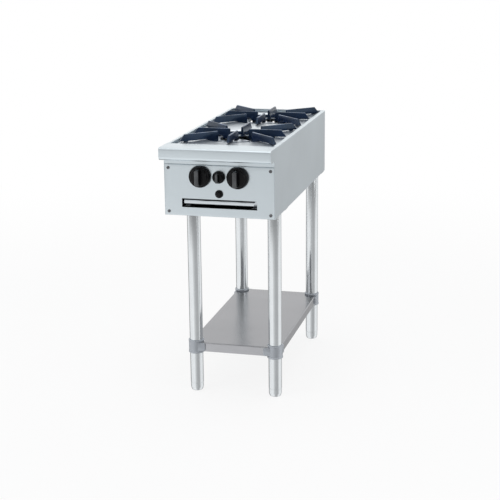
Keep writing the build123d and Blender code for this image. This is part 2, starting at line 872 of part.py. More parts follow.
def igniter_button():
    top = bezel_height + button_proud
    cap = turned(
        [(0, -button_seat), (button_radius, -button_seat), (button_radius, top), (0, top)], [0, 0, 1.5, 0]
    )
    return on_panel(0, igniter_height) * cap


def igniter_nut():
    hexagon = RegularPolygon(igniter_nut_width / 2, 6, major_radius=False)
    nut = extrude(hexagon - Circle(igniter_barrel_radius + screw_clearance), amount=igniter_nut_height)
    return on_panel(0, igniter_height) * Pos(0, 0, -skin - igniter_nut_height) * nut


def electrode_foot():
    row = burner_rows["front"]
    away = math.sqrt(pilot_offset**2 - electrode_side**2)
    return (electrode_side, row - away, head_top - electrode_length - electrode_wire_length)


def ignition_electrode():
    x, y, z = electrode_foot()
    ceramic = turned(
        [(0, 0), (electrode_radius, 0), (electrode_radius, electrode_length), (0, electrode_length)],
        [0, 0.8, 1.5, 0],
    )
    wire_top = electrode_length + electrode_wire_length
    wire = rod(electrode_wire_radius, (0, 0, electrode_length - past), (0, 0, wire_top))
    return Pos(x, y, z) * (ceramic + wire)


def ignition_lead():
    """Lead from the igniter's terminal, down the right of the front burner, up to the electrode."""
    x, y, z = electrode_foot()
    start_y, start_z = panel_face + igniter_barrel_length + terminal_length, base + igniter_height
    level = control_level + venturi_radius + lead_radius + lead_over_burner
    aside = knob_spacing / 2 + venturi_mouth_radius + 4 * lead_radius
    straight_end = start_y + lead_straight_run
    side_end = straight_end + lead_side_run
    route = [
        (0, start_y, start_z), (0, straight_end, start_z), (aside, side_end, start_z + lead_side_rise),
        (aside, side_end + lead_down_run, level), (x, y, level), (x, y, z),
    ]
    end_bend = min(lead_end_bend, z - level - seam)
    return tube(lead_radius, route, lead_bends + [end_bend])


# ---- drip tray
def standing_and_floor_edges(solid):
    return solid.edges().filter_by(Axis.Z) + solid.faces().sort_by(Axis.Z)[0].edges()


def drip_tray():
    """Shallow pressed tray whose front edge rolls forward into a finger lip."""
    half = slot_width / 2 - tray_side_gap
    near = panel_face + tray_inset
    far = near + tray_depth
    top = tray_floor + tray_height
    outer = block(-half, half, near, far, tray_floor, top)
    outer = fillet(standing_and_floor_edges(outer), tray_corner)
    inner = block(
        tray_sheet - half, half - tray_sheet, near + tray_sheet, far - tray_sheet,
        tray_floor + tray_sheet, top + tray_sheet,
    )
    inner = fillet(standing_and_floor_edges(inner), tray_corner - tray_sheet)
    nose = panel_face - lip_proud
    lip = folded([(near + tray_sheet, top), (nose, top), (nose, top - lip_drop)], tray_sheet)
    return outer - inner + across(lip, tray_corner - half, half - tray_corner)


def tray_runner():
    """Right-hand runner: foot on the base pan, upright, and a shelf under the tray's edge."""
    foot = base + base_sheet
    top = tray_floor - runner_gap
    edge = slot_width / 2 - tray_side_gap + seam
    fold = [
        (edge + runner_flange, foot + skin), (edge, foot + skin), (edge, top), (edge - runner_flange, top),
    ]
    end_gap = base_sheet + bend + seam
    near, far = panel_face + panel_flange + seam + end_gap, back - skin - end_gap
    return along(folded(fold, skin), near, far)


# ---- stand
def bolt_places():
    dx, dy = bolt_spacing_side / 2, bolt_spacing_depth / 2
    return [
        (side * leg_x + across_x, row + along_y)
        for side in sides.values() for row in leg_rows.values()
        for across_x in (-dx, dx) for along_y in (-dy, dy)
    ]


def leg_mount(x, y):
    """Plate under the cabinet with a spigot that stands in the leg tube."""
    low = base - mount_plate
    half_x, half_y = mount_plate_width / 2, mount_plate_depth / 2
    plate = block(x - half_x, x + half_x, y - half_y, y + half_y, low, base)
    plate = fillet(plate.edges().filter_by(Axis.Z), mount_corner)
    plug = leg_radius - leg_wall - tube_fit
    plate += rod(plug, (x, y, low - mount_spigot), (x, y, low))
    plate -= rod(plug - mount_plate, (x, y, low - mount_spigot - past), (x, y, low))
    for bolt_x, bolt_y in bolt_places():
        hole = bolt_radius + screw_clearance
        plate -= rod(hole, (bolt_x, bolt_y, low - past), (bolt_x, bolt_y, base + past))
    return plate


def socket_bolts():
    head = base + base_sheet
    tip = base - 2 * mount_plate
    return [
        rod(bolt_radius, (x, y, tip), (x, y, head))
        + Pos(x, y, head) * extrude(RegularPolygon(bolt_head_radius, 6), amount=bolt_head_height)
        for x, y in bolt_places()
    ]


def leg_tube(x, y):
    low, high = (x, y, foot_height + seam), (x, y, base - mount_plate)
    return rod(leg_radius, low, high) - rod(leg_radius - leg_wall, low, high)


def adjustable_foot(x, y):
    """Slightly tapered foot on a screw that runs in the insert in the end of the tube."""
    screw_top = foot_height + foot_screw_length
    profile = [
        (0, 0), (foot_sole_radius, 0), (foot_radius, foot_curve), (foot_radius, foot_height),
        (foot_screw_radius, foot_height), (foot_screw_radius, screw_top), (0, screw_top),
    ]
    return Pos(x, y, 0) * turned(profile, [0, foot_sole_edge, foot_curve_edge, foot_rim, 0, foot_rim, 0])


def foot_inserts():
    low = foot_height + seam
    outer = leg_radius - leg_wall - tube_fit
    ring = turned(
        [
            (foot_screw_radius + insert_fit, low), (outer, low), (outer, low + insert_length),
            (foot_screw_radius + insert_fit, low + insert_length),
        ],
        [0, 0, 1.5, 0],
    )
    return [Pos(side * leg_x, row, 0) * ring for side in sides.values() for row in leg_rows.values()]


def shelf_bounds():
    return (
        leg_x + shelf_overhang, leg_rows["front"] - shelf_overhang, leg_rows["rear"] + shelf_overhang
    )


def clamp_radius():
    return leg_radius + clamp_wall


def undershelf():
    half, near, far = shelf_bounds()
    plate = pan(half, near, far, shelf_height, shelf_height - shelf_edge, skin)
    for side, end, row in shelf_corners():
        x = side * leg_x
        notch_low, notch_high = shelf_height - shelf_edge - past, shelf_height + past
        plate -= rod(clamp_radius() + notch_gap, (x, row, notch_low), (x, row, notch_high))
    return plate - clamp_screw_rods(screw_radius + screw_clearance, shelf_corners())


def shelf_corners():
    ends = {"front": -1, "rear": 1}
    return [(side, end, leg_rows[name]) for side in sides.values() for name, end in ends.items()]


def clamp_screw_places(corners):
    """Places on the inside of the shelf's folded edges, with the way each screw points: outwards."""
    level = shelf_height - shelf_edge / 2
    out = shelf_overhang - skin
    places = []
    for side, end, row in corners:
        x, inward_x = side * leg_x, side * (leg_x - clamp_screw_reach)
        places.append(((inward_x, row + end * out, level), (0, end, 0)))
        places.append(((x + side * out, row - end * clamp_screw_reach, level), (side, 0, 0)))
    return places


def clamp_screw_rods(radius, corners):
    """Rods from inside the shelf's edge into both wings of each clamp given."""
    return [
        rod(radius, place, Vector(*place) + Vector(*way) * (skin + clamp_screw_bite))
        for place, way in clamp_screw_places(corners)
    ]


def clamp_screws():
    profile = [
        (0, -screw_head_height), (screw_head_radius, -screw_head_height), (screw_head_radius, 0), (0, 0),
    ]
    head = turned(profile, [0, screw_crown, 0, 0])
    shanks = clamp_screw_rods(screw_radius, shelf_corners())
    places = clamp_screw_places(shelf_corners())
    return [shank + Plane(origin=place, z_dir=way) * head for shank, (place, way) in zip(shanks, places)]


def shelf_clamp(side, end, row):
    """Cast collar on a leg, with two wings that the shelf's folded edges are screwed to from inside."""
    x = side * leg_x
    top = shelf_height + clamp_above
    low = top - clamp_height
    collar = Pos(x, row, 0) * turned(
        [(leg_radius, low), (clamp_radius(), low), (clamp_radius(), top), (leg_radius, top)],
        [0, clamp_edge, clamp_edge, 0],
    )
    wing_low = shelf_height - shelf_edge / 2 - clamp_wing_height / 2
    wing_high = wing_low + clamp_wing_height
    near, far = shelf_overhang, shelf_overhang + clamp_wing_thickness
    x_low, x_high = sorted((x, x - side * clamp_wing))
    y_low, y_high = sorted((row + end * near, row + end * far))
    front_wing = block(x_low, x_high, y_low, y_high, wing_low, wing_high)
    x_low, x_high = sorted((x + side * near, x + side * far))
    y_low, y_high = sorted((row, row - end * clamp_wing))
    side_wing = block(x_low, x_high, y_low, y_high, wing_low, wing_high)
    bore = rod(leg_radius + clamp_fit, (x, row, low - past), (x, row, top + past))
    body = collar + front_wing + side_wing - bore
    return body - clamp_screw_rods(screw_radius + screw_clearance, [(side, end, row)])


# ---- assembly
def build():
    half = knob_spacing / 2
    right_side, right_runner, casting = side_panel(), tray_runner(), grate()
    head = burner_head()
    pieces = {
        "side_panel_right": right_side,
        "side_panel_left": mirror(right_side, about=Plane.YZ),
        "back_panel": back_panel(),
        "base_pan": base_pan(),
        "front_control_panel": front_control_panel(),
        "front_hood": front_hood(),
        "burner_deck": burner_deck(),
        "panel_screws": panel_screws(),
        "gas_manifold": gas_manifold(),
        "gas_inlet_pipe": gas_inlet_pipe(),
        "pilot_valve": gas_cock(
            0, pilot_valve_radius, pilot_valve_length, pilot_nose_radius, pilot_nipple_radius,
            pilot_stem_radius + stem_fit, 0,
        ),
        "pilot_valve_stem": d_shaft(0, pilot_stem_radius),
        "injectors": injectors(),
        "pilot_tube_front": pilot_tube_front(),
        "pilot_tube_rear": pilot_tube_rear(),
        "pilot_knob": placed_knob(0, small=True),
        "igniter_body": igniter_body(),
        "igniter_button": igniter_button(),
        "igniter_nut": igniter_nut(),
        "ignition_electrode": ignition_electrode(),
        "ignition_lead": ignition_lead(),
        "drip_tray": drip_tray(),
        "tray_runner_right": right_runner,
        "tray_runner_left": mirror(right_runner, about=Plane.YZ),
        "socket_bolts": socket_bolts(),
        "foot_inserts": foot_inserts(),
        "undershelf": undershelf(),
        "clamp_screws": clamp_screws(),
    }
    for name, side in sides.items():
        x = side * half
        pieces[f"knob_{name}"] = placed_knob(x)
        pieces[f"valve_stem_{name}"] = d_shaft(x, stem_radius)
        pieces[f"valve_{name}"] = gas_cock(
            x, valve_radius, valve_length, valve_nose_radius, valve_nipple_radius, stem_radius + stem_fit,
            valve_outlet_length,
        )
    feeds = {"front": sides["right"], "rear": sides["left"]}
    for name, row in burner_rows.items():
        pieces[f"grate_{name}"] = Pos(0, row, 0) * casting
        pieces[f"burner_head_{name}"] = Pos(0, row, bowl_top) * head
        pieces[f"burner_body_{name}"] = burner_body(feeds[name], row)
        pieces[f"burner_rail_{name}"] = burner_rail(row)
        pieces[f"pilot_burner_{name}"] = pilot_burner(row)
    for end_name, end in (("front", -1), ("rear", 1)):
        row = leg_rows[end_name]
        for side_name, side in sides.items():
            corner, x = f"{end_name}_{side_name}", side * leg_x
            pieces[f"leg_{corner}"] = leg_tube(x, row)
            pieces[f"leg_mount_{corner}"] = leg_mount(x, row)
            pieces[f"foot_{corner}"] = adjustable_foot(x, row)
            pieces[f"shelf_clamp_{corner}"] = shelf_clamp(side, end, row)
    return pieces


os.makedirs("parts", exist_ok=True)
for node, piece in build().items():
    shape = Compound(children=[Part() + solid for solid in piece]) if isinstance(piece, list) else piece
    export_step(shape, f"parts/{node}.step")
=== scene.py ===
"""Two-burner gas range on a tube-leg stand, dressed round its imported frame. Metres, +Z up, front at -Y."""

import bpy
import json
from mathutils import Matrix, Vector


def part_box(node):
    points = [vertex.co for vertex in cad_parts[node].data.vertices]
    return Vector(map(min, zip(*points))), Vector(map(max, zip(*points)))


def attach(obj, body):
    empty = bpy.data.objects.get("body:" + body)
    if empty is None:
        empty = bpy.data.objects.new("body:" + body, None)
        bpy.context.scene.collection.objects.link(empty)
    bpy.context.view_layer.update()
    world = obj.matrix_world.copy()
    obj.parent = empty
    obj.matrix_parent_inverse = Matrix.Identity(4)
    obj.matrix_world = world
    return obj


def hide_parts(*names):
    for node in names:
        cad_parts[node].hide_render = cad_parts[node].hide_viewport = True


bl_info = {
    "name": "Two-burner gas range",
    "version": (1, 0, 0),
    "blender": (4, 5, 0),
    "location": "3D View > Sidebar > Range",
    "description": "Sheet metal, castings, knobs and stand of an open-top gas range, with its studio",
    "category": "Object",
}

import json
import math

import bmesh
import bpy
import numpy as np
from mathutils import Matrix, Vector

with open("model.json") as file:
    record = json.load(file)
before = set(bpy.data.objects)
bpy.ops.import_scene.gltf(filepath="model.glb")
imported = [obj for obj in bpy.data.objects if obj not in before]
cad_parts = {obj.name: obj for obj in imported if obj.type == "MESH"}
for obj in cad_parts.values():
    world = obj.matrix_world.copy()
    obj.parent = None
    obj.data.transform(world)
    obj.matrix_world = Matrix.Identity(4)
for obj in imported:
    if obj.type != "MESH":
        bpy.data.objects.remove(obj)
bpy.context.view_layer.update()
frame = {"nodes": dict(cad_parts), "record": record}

MM = 0.001
CORNERS = ("front_left", "front_right", "rear_left", "rear_right")


# ---- places read from the frame
def box_of(node):
    low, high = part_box(node)
    return np.array(low), np.array(high)


def middle(node):
    low, high = box_of(node)
    return (low + high) / 2


def standing(node):
    """Frame on the floor, below the middle of a node."""
    centre = middle(node)
    return Matrix.Translation((centre[0], centre[1], 0))


def outwards(corner):
    """Signs of X and Y from the middle of the stand to a corner."""
    return np.sign(middle(f"leg_{corner}")[0]), (-1 if corner.startswith("front") else 1)


# ---- surfaces
SHELL_SHARP = 35  # degrees between faces from which an edge stays sharp
NODE_SHARP = 30
FLAT = 0.5  # degrees up to which faces count as flat
EASED_ANGLE = 50  # degrees from which an edge is rounded


def rectangle(x_low, x_high, y_low, y_high):
    """Corners, anticlockwise from the lower left."""
    return [(x_low, y_low), (x_high, y_low), (x_high, y_high), (x_low, y_high)]


def rounded(corners, radii, closed=False, steps=6):
    """Outline whose corners are arcs: the heading turns evenly from one run to the next, and the point moves
    by the radius times the change in the heading's sine and cosine."""
    corners = np.asarray(corners, float)
    before, after = np.roll(corners, 1, axis=0), np.roll(corners, -1, axis=0)
    if not closed:
        before[0] = 2 * corners[0] - corners[1]
        after[-1] = 2 * corners[-1] - corners[-2]
    run_in, run_out = corners - before, after - corners
    heading = np.arctan2(run_in[:, 1], run_in[:, 0])
    turn = (np.arctan2(run_out[:, 1], run_out[:, 0]) - heading + np.pi) % (2 * np.pi) - np.pi
    radii = np.broadcast_to(np.asarray(radii, float), len(corners))
    unit_in = run_in / np.linalg.norm(run_in, axis=1, keepdims=True)
    start = corners - unit_in * (radii * np.tan(abs(turn) / 2))[:, None]
    angle = heading[:, None] + turn[:, None] * np.linspace(0, 1, steps + 1)
    bend = (radii * np.sign(turn))[:, None]
    x = start[:, :1] + bend * (np.sin(angle) - np.sin(heading)[:, None])
    y = start[:, 1:] - bend * (np.cos(angle) - np.cos(heading)[:, None])
    points = np.stack([x, y], axis=-1).reshape(-1, 2)
    keep = np.linalg.norm(points - np.roll(points, 1, axis=0), axis=1) > 1e-7
    keep[0] = keep[0] or not closed
    return points[keep]


def moved_in(outline, distance):
    """Closed outline moved to its left by a distance, each point along the mitre of its two runs' normals."""
    run = np.roll(outline, -1, axis=0) - outline
    run /= np.linalg.norm(run, axis=1, keepdims=True)
    normal = np.column_stack([-run[:, 1], run[:, 0]])
    earlier = np.roll(normal, 1, axis=0)
    mitre = (normal + earlier) / (1 + np.sum(normal * earlier, axis=1))[:, None]
    return outline + mitre * distance


def pillow(outline, stations):
    """Outline carried through stations of (inset, height): row by row moved in and set at the height."""
    rows = [np.insert(moved_in(outline, inset), 2, height, axis=1) for inset, height in stations]
    return np.array(rows)


def turned(profile, count):
    """Surface of revolution about Z: (radius cos t, radius sin t, height) for t round the circle."""
    profile = np.asarray(profile, float)
    t = np.arange(count) * (2 * np.pi / count)
    radius, height = profile[:, :1], profile[:, 1:]
    return np.stack([radius * np.cos(t), radius * np.sin(t), height + 0 * t], axis=-1)


def round_edge(inset, low, high, steps):
    """Stations of a quarter circle: the inset grows from 0 to its full size while the height goes from low
    to high."""
    t = np.linspace(0, np.pi / 2, steps + 1)
    return np.column_stack([inset * (1 - np.cos(t)), low + (high - low) * np.sin(t)])


class Shells:
    """Shells gathered into one mesh. Each is a grid of points whose columns close round."""

    def __init__(self):
        self.points, self.faces, self.total = [], [], 0

    def add(self, grid, place=None, loop=False):
        """Quads join neighbouring points. The rows close round too on a loop, and get a face at each end
        otherwise."""
        rows, columns = grid.shape[:2]
        row, column = np.indices((rows if loop else rows - 1, columns))
        beyond, beside = (row + 1) % rows, (column + 1) % columns
        near, far = row * columns, beyond * columns
        quads = np.stack([near + column, near + beside, far + beside, far + column], axis=-1)
        faces = (quads.reshape(-1, 4) + self.total).tolist()
        if not loop:
            first = np.arange(columns)[::-1] + self.total
            last = np.arange(columns) + (rows - 1) * columns + self.total
            faces += [first.tolist(), last.tolist()]
        points = grid.reshape(-1, 3)
        if place is not None:
            matrix = np.array(place)
            points = points @ matrix[:3, :3].T + matrix[:3, 3]
        self.points.append(points)
        self.faces += faces
        self.total += len(points)
        return self

    def piece(self, name):
        """Piece with its doubles merged and its faces outwards."""
        mesh = bpy.data.meshes.new(name)
        mesh.from_pydata(np.concatenate(self.points), [], self.faces)
        shape = bmesh.new()
        shape.from_mesh(mesh)
        bmesh.ops.remove_doubles(shape, verts=shape.verts, dist=1e-6)
        bmesh.ops.dissolve_degenerate(shape, edges=shape.edges, dist=1e-7)
        bmesh.ops.recalc_face_normals(shape, faces=shape.faces)
        shape.to_mesh(mesh)
        shape.free()
        return smoothed(name, mesh, SHELL_SHARP)


def linked(name, data):
    thing = bpy.data.objects.new(name, data)
    bpy.context.scene.collection.objects.link(thing)
    return thing


def smoothed(name, mesh, sharp):
    """Piece from a mesh, smooth up to the sharp angle in degrees."""
    mesh.shade_smooth()
    mesh.set_sharp_from_angle(angle=math.radians(sharp))
    return linked(name, mesh)


def eased(node, width):
    """Copy of a node: its triangles joined where they are flat, its sharp edges rounded by a small width."""
    mesh = frame["nodes"][node].data.copy()
    mesh.materials.clear()
    shape = bmesh.new()
    shape.from_mesh(mesh)
    bmesh.ops.remove_doubles(shape, verts=shape.verts, dist=2e-6)
    bmesh.ops.dissolve_limit(shape, angle_limit=math.radians(FLAT), verts=shape.verts, edges=shape.edges)
    shape.to_mesh(mesh)
    shape.free()
    piece = smoothed(node + "_finish", mesh, NODE_SHARP)
    if width:
        edge = piece.modifiers.new("eased_edges", "BEVEL")
        edge.width = width
        edge.segments = 2
        edge.limit_method = "ANGLE"
        edge.angle_limit = math.radians(EASED_ANGLE)
        edge.harden_normals = True
        edge.use_clamp_overlap = True
    return piece


def stand_for(piece, *nodes):
    """The piece rides on its nodes' body and is shown in their place."""
    record = frame["record"]
    body = next(name for name, members in record["behaviour"]["bodies"].items() if nodes[0] in members)
    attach(piece, body)
    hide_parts(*nodes)
    return piece


def wear(piece, material):
    piece.data.materials.clear()
    piece.data.materials.append(material)


def wear_on(node, material, width=None):
    """Finish a node, on a copy with eased edges if a width is given."""
    piece = frame["nodes"][node] if width is None else stand_for(eased(node, width), node)
    wear(piece, material)


# ---- shader maths
class Wire:
    """A number or colour that varies over a surface. Operators on it add Math nodes."""

    def __init__(self, finish, socket):
        self.finish = finish
        self.socket = socket

    def maths(self, operation, *values):
        return self.finish.maths(operation, *values)

    def __add__(self, other):
        return self.maths("ADD", self, other)

    def __sub__(self, other):
        return self.maths("SUBTRACT", self, other)

    def __mul__(self, other):
        return self.maths("MULTIPLY", self, other)

    def __truediv__(self, other):
        return self.maths("DIVIDE", self, other)

    def __radd__(self, other):
        return self.maths("ADD", other, self)

    def __rsub__(self, other):
        return self.maths("SUBTRACT", other, self)

    def __rmul__(self, other):
        return self.maths("MULTIPLY", other, self)

    def limited(self):
        """Kept between 0 and 1."""
        return self.maths("MINIMUM", self.maths("MAXIMUM", self, 0.0), 1.0)

    def ramp(self, low, high, start=0.0, end=1.0):
        """Smooth step from start to end while the number goes from low to high."""
        sockets = {"Value": self, "From Min": low, "From Max": high, "To Min": start, "To Max": end}
        return self.finish.add("ShaderNodeMapRange", {"interpolation_type": "SMOOTHSTEP"}, sockets)


class Finish:
    """A node tree under construction."""

    def __init__(self, tree):
        self.tree = tree

    def add(self, kind, settings=None, sockets=None, output=0):
        """Any node: its settings first, then the values or links of its sockets."""
        node = self.tree.nodes.new(kind)
        for name, value in (settings or {}).items():
            setattr(node, name, value)
        for key, value in (sockets or {}).items():
            if isinstance(value, Wire):
                self.tree.links.new(value.socket, node.inputs[key])
            else:
                node.inputs[key].default_value = value
        return Wire(self, node.outputs[output])

    def maths(self, operation, *values):
        return self.add("ShaderNodeMath", {"operation": operation}, dict(enumerate(values)))

    def graded(self, amount, levels):
        """Brightness by the amount, straight from one (place, brightness) to the next."""
        graded = self.add("ShaderNodeValToRGB", {}, {0: amount})
        stops = graded.socket.node.color_ramp.elements
        while len(stops) < len(levels):
            stops.new(1.0)
        for stop, (place, level) in zip(stops, levels):
            stop.position = place
            stop.color = (level, level, level, 1)
        return graded

    def here(self):
        """Object coordinates."""
        return self.add("ShaderNodeTexCoord", output=3)

    def coordinate(self, axis):
        return self.add("ShaderNodeSeparateXYZ", {}, {0: self.here()}, axis)

    def noise(self, size, detail=2.0, stretch=(1, 1, 1), roughness=0.5):
        """Noise whose features are about size metres, longer along the axes with a stretch under 1."""
        scale = tuple(share / size for share in stretch)
        place = self.add("ShaderNodeMapping", {}, {"Vector": self.here(), "Scale": scale})
        sockets = {"Vector": place, "Scale": 1.0, "Detail": detail, "Roughness": roughness}
        return self.add("ShaderNodeTexNoise", {}, sockets)

    def tint(self, amount, first, second):
        """Colour mixed from first to second by the amount."""
        return self.add("ShaderNodeMix", {"data_type": "RGBA"}, {0: amount, 6: first, 7: second}, output=2)

    def mottled(self, pattern, colour, dark, pale):
        """Colour that goes from a dark to a pale share of itself with the pattern."""
        return self.tint(pattern.ramp(0.3, 0.7), shade(colour, dark), shade(colour, pale))

    def mix(self, amount, first, second):
        """Shader mixed from first to second by the amount."""
        return self.add("ShaderNodeMixShader", {}, {0: amount, 1: first, 2: second})

    def bump(self, height, strength, distance):
        return self.add("ShaderNodeBump", {}, {"Height": height, "Strength": strength, "Distance": distance})


class Material(Finish):
    """A Principled material. Constants are set on the shader's own sockets, and wires feed the rest."""

    def __init__(self, name, sockets):
        self.material = bpy.data.materials.new(name)
        self.material.use_nodes = True
        super().__init__(self.material.node_tree)
        self.tree.nodes.clear()
        self.shader = self.tree.nodes.new("ShaderNodeBsdfPrincipled")
        self.output = self.tree.nodes.new("ShaderNodeOutputMaterial")
        self.tree.links.new(self.shader.outputs[0], self.output.inputs[0])
        for socket, value in sockets.items():
            self.shader.inputs[socket].default_value = value

    def feed(self, socket, wire):
        self.tree.links.new(wire.socket, self.shader.inputs[socket])


def shade(colour, factor):
    return tuple(channel * factor for channel in colour[:3]) + (1.0,)


# ---- finishes
# grey of the painted highlight on the knobs' grips
HIGHLIGHT_GREY = (0.11, 0.115, 0.12, 1)
RUST = (0.16, 0.07, 0.035, 1)
PILOT_TUBE = (0.72, 0.73, 0.75, 1)
SLEEVE = (0.42, 0.08, 0.06, 1)
CERAMIC = (0.8, 0.79, 0.75, 1)
CREST = 3 * MM  # depth of a grip's front that gets the painted highlight
HIGHLIGHT_EDGE = (0.52, 0.6)  # pointiness of a surface over which its edge gets a painted highlight


def satin_sheet(name, colour, grain=(1, 1, 0.02)):
    """Satin stainless sheet: fine grain along one axis, faint clouds of handling, soft sheen."""
    made = Material(name, {"Metallic": 1.0})
    clouds = made.noise(0.22, 3.0, roughness=0.6)
    fine = made.noise(0.0011, 3.0, grain)
    broad = made.noise(0.006, 2.0, grain)
    made.feed("Base Color", made.mottled(clouds, colour, 0.955, 1.0))
    made.feed("Roughness", 0.25 + 0.07 * fine + 0.06 * clouds)
    made.feed("Normal", made.bump(fine * 0.7 + broad * 0.3, 0.22, 0.0004))
    return made.material


def polished_sheet(name, colour, roughness, painted_shade_level=None):
    """Bright stainless sheet: long shallow waves, cleaning smears, fine scratches. From a given level up
    it is painted darker: painted shade for the shaded body that the top of the sheet reflects."""
    made = Material(name, {"Metallic": 1.0})
    waves = made.noise(0.16, 1.0)
    smears = made.noise(0.05, 3.0, (1, 0.35, 1), roughness=0.6)
    scratches = made.noise(0.0016, 2.0, (1, 0.03, 1))
    body = made.tint(smears.ramp(0.25, 0.75), shade(colour, 0.94), shade(colour, 1.0))
    # painted shade: darker from the given level up, for the shaded body that the top reflects
    if painted_shade_level is not None:
        body = made.tint(made.coordinate(2).ramp(painted_shade_level - 0.5 * MM, painted_shade_level), body, shade(colour, 0.62))
    made.feed("Base Color", body)
    made.feed("Roughness", (roughness - 0.03) + 0.08 * smears + 0.03 * scratches)
    made.feed("Normal", made.bump(waves + scratches * 0.01, 0.35, 0.004))
    return made.material


def bright_tube(name, colour):
    """Bright drawn tube: fine lines along its length and a few dull marks."""
    made = Material(name, {"Metallic": 1.0})
    lines = made.noise(0.0012, 2.0, (1, 1, 0.01))
    marks = made.noise(0.07, 3.0, roughness=0.6)
    made.feed("Base Color", made.mottled(marks, colour, 0.95, 1.0))
    made.feed("Roughness", 0.1 + 0.05 * lines + 0.06 * marks)
    made.feed("Normal", made.bump(lines, 0.12, 0.0003))
    return made.material


def enamelled_iron(name, colour, highlight_colour, top):
    """Dark glassy enamel on rough cast iron: sand texture under the gloss. Paler along the tops and on the
    sharp edges: a painted highlight."""
    gloss = {"Metallic": 0.0, "Specular IOR Level": 0.5, "Specular Tint": (0.5, 0.75, 1, 1)}
    made = Material(name, gloss | {"Coat Weight": 0.1})
    sand = made.noise(0.0016, 3.0, roughness=0.6)
    lumps = made.noise(0.009, 2.0)
    clouds = made.noise(0.045, 3.0)
    # painted highlight: paler along the blades' tops and, by pointiness, on their sharp edges
    painted_highlight = made.coordinate(2).ramp(top - MM, top - 0.2 * MM) * clouds.ramp(0.3, 0.7)
    painted_edge_highlight = made.add("ShaderNodeNewGeometry", output=7).ramp(*HIGHLIGHT_EDGE) * clouds.ramp(0.35, 0.65)
    body = made.mottled(clouds, colour, 0.7, 1.3)
    made.feed("Base Color", made.tint((painted_highlight + painted_edge_highlight * 0.5).limited(), body, highlight_colour))
    made.feed("Roughness", 0.24 + 0.1 * sand + 0.1 * clouds)
    made.feed("Normal", made.bump(sand * 0.4 + lumps, 0.3, 0.0010))
    return made.material


def rough_casting(name, colour, metallic, roughness, grit=0.0014):
    """Blasted casting: grit all over, slow lumps and slightly brighter high spots."""
    made = Material(name, {"Metallic": metallic})
    sand = made.noise(grit, 3.0, roughness=0.65)
    lumps = made.noise(0.012, 2.0)
    clouds = made.noise(0.05, 2.0)
    spots = sand.ramp(0.3, 0.75) * 0.5 + clouds * 0.5
    made.feed("Base Color", made.tint(spots, shade(colour, 0.8), shade(colour, 1.1)))
    made.feed("Roughness", roughness - 0.06 + 0.16 * sand)
    made.feed("Normal", made.bump(sand + lumps * 0.6, 0.4, 0.0006))
    return made.material


def moulded(name, colour, roughness=0.3, coat=0.02, crest=None):
    """Moulded phenolic: close to black, faint flow marks and a fine orange peel in the gloss. In front of the
    crest level it is painted grey: a painted highlight along the grip's front."""
    gloss = {"Metallic": 0.0, "Specular IOR Level": 0.16, "Coat Weight": coat, "Coat Roughness": 0.1}
    made = Material(name, gloss)
    flow = made.noise(0.03, 3.0, roughness=0.6)
    peel = made.noise(0.0022, 1.0)
    body = made.mottled(flow, colour, 0.8, 1.3)
    if crest is not None:
        # painted highlight: the grip's front, ahead of the crest level, mixed towards grey
        painted_highlight = made.coordinate(1).ramp(crest, crest - CREST) * flow.ramp(0.2, 0.7, 0.5, 1.0)
        body = made.tint(painted_highlight, body, HIGHLIGHT_GREY)
    made.feed("Base Color", body)
    made.feed("Roughness", roughness - 0.04 + 0.1 * flow)
    made.feed("Normal", made.bump(peel, 0.12, 0.0004))
    return made.material


def machined(name, colour, roughness):
    """Turned or plated metal: close tool marks and a soft stain."""
    made = Material(name, {"Metallic": 1.0})
    marks = made.noise(0.0009, 2.0)
    stain = made.noise(0.02, 3.0)
    made.feed("Base Color", made.mottled(stain, colour, 0.85, 1.05))
    made.feed("Roughness", roughness - 0.03 + 0.1 * stain + 0.04 * marks)
    made.feed("Normal", made.bump(marks, 0.12, 0.0003))
    return made.material


def black_pipe(name, colour):
    """Scaled black pipe: mill scale with rusty specks."""
    made = Material(name, {"Metallic": 0.35})
    scale = made.noise(0.006, 4.0, roughness=0.6)
    specks = made.noise(0.0025, 2.0)
    body = made.mottled(scale, colour, 0.7, 1.3)
    made.feed("Base Color", made.tint(specks.ramp(0.66, 0.74) * 0.7, body, RUST))
    made.feed("Roughness", 0.42 + 0.25 * scale)
    made.feed("Normal", made.bump(scale, 0.35, 0.0006))
    return made.material


def soft_sleeve(name, colour, roughness=0.55):
    """Rubber or glazed sleeve: slow blotches and a fine weave in the surface."""
    made = Material(name, {"Metallic": 0.0})
    blotches = made.noise(0.02, 3.0)
    weave = made.noise(0.0012, 2.0)
    made.feed("Base Color", made.mottled(blotches, colour, 0.85, 1.1))
    made.feed("Roughness", roughness + 0.1 * blotches)
    made.feed("Normal", made.bump(weave, 0.2, 0.0003))
    return made.material


# ---- settings
def size_property(name, description, default):
    kind = {"subtype": "DISTANCE", "unit": "LENGTH", "precision": 4}
    return bpy.props.FloatProperty(name=name, description=description, default=default, min=0.0, **kind)


def level_property(name, description, default):
    return bpy.props.FloatProperty(name=name, description=description, default=default, min=0.0)


def colour_property(name, description, default):
    return bpy.props.FloatVectorProperty(
        name=name, description=description, default=default, size=4, min=0.0, max=1.0, subtype="COLOR"
    )


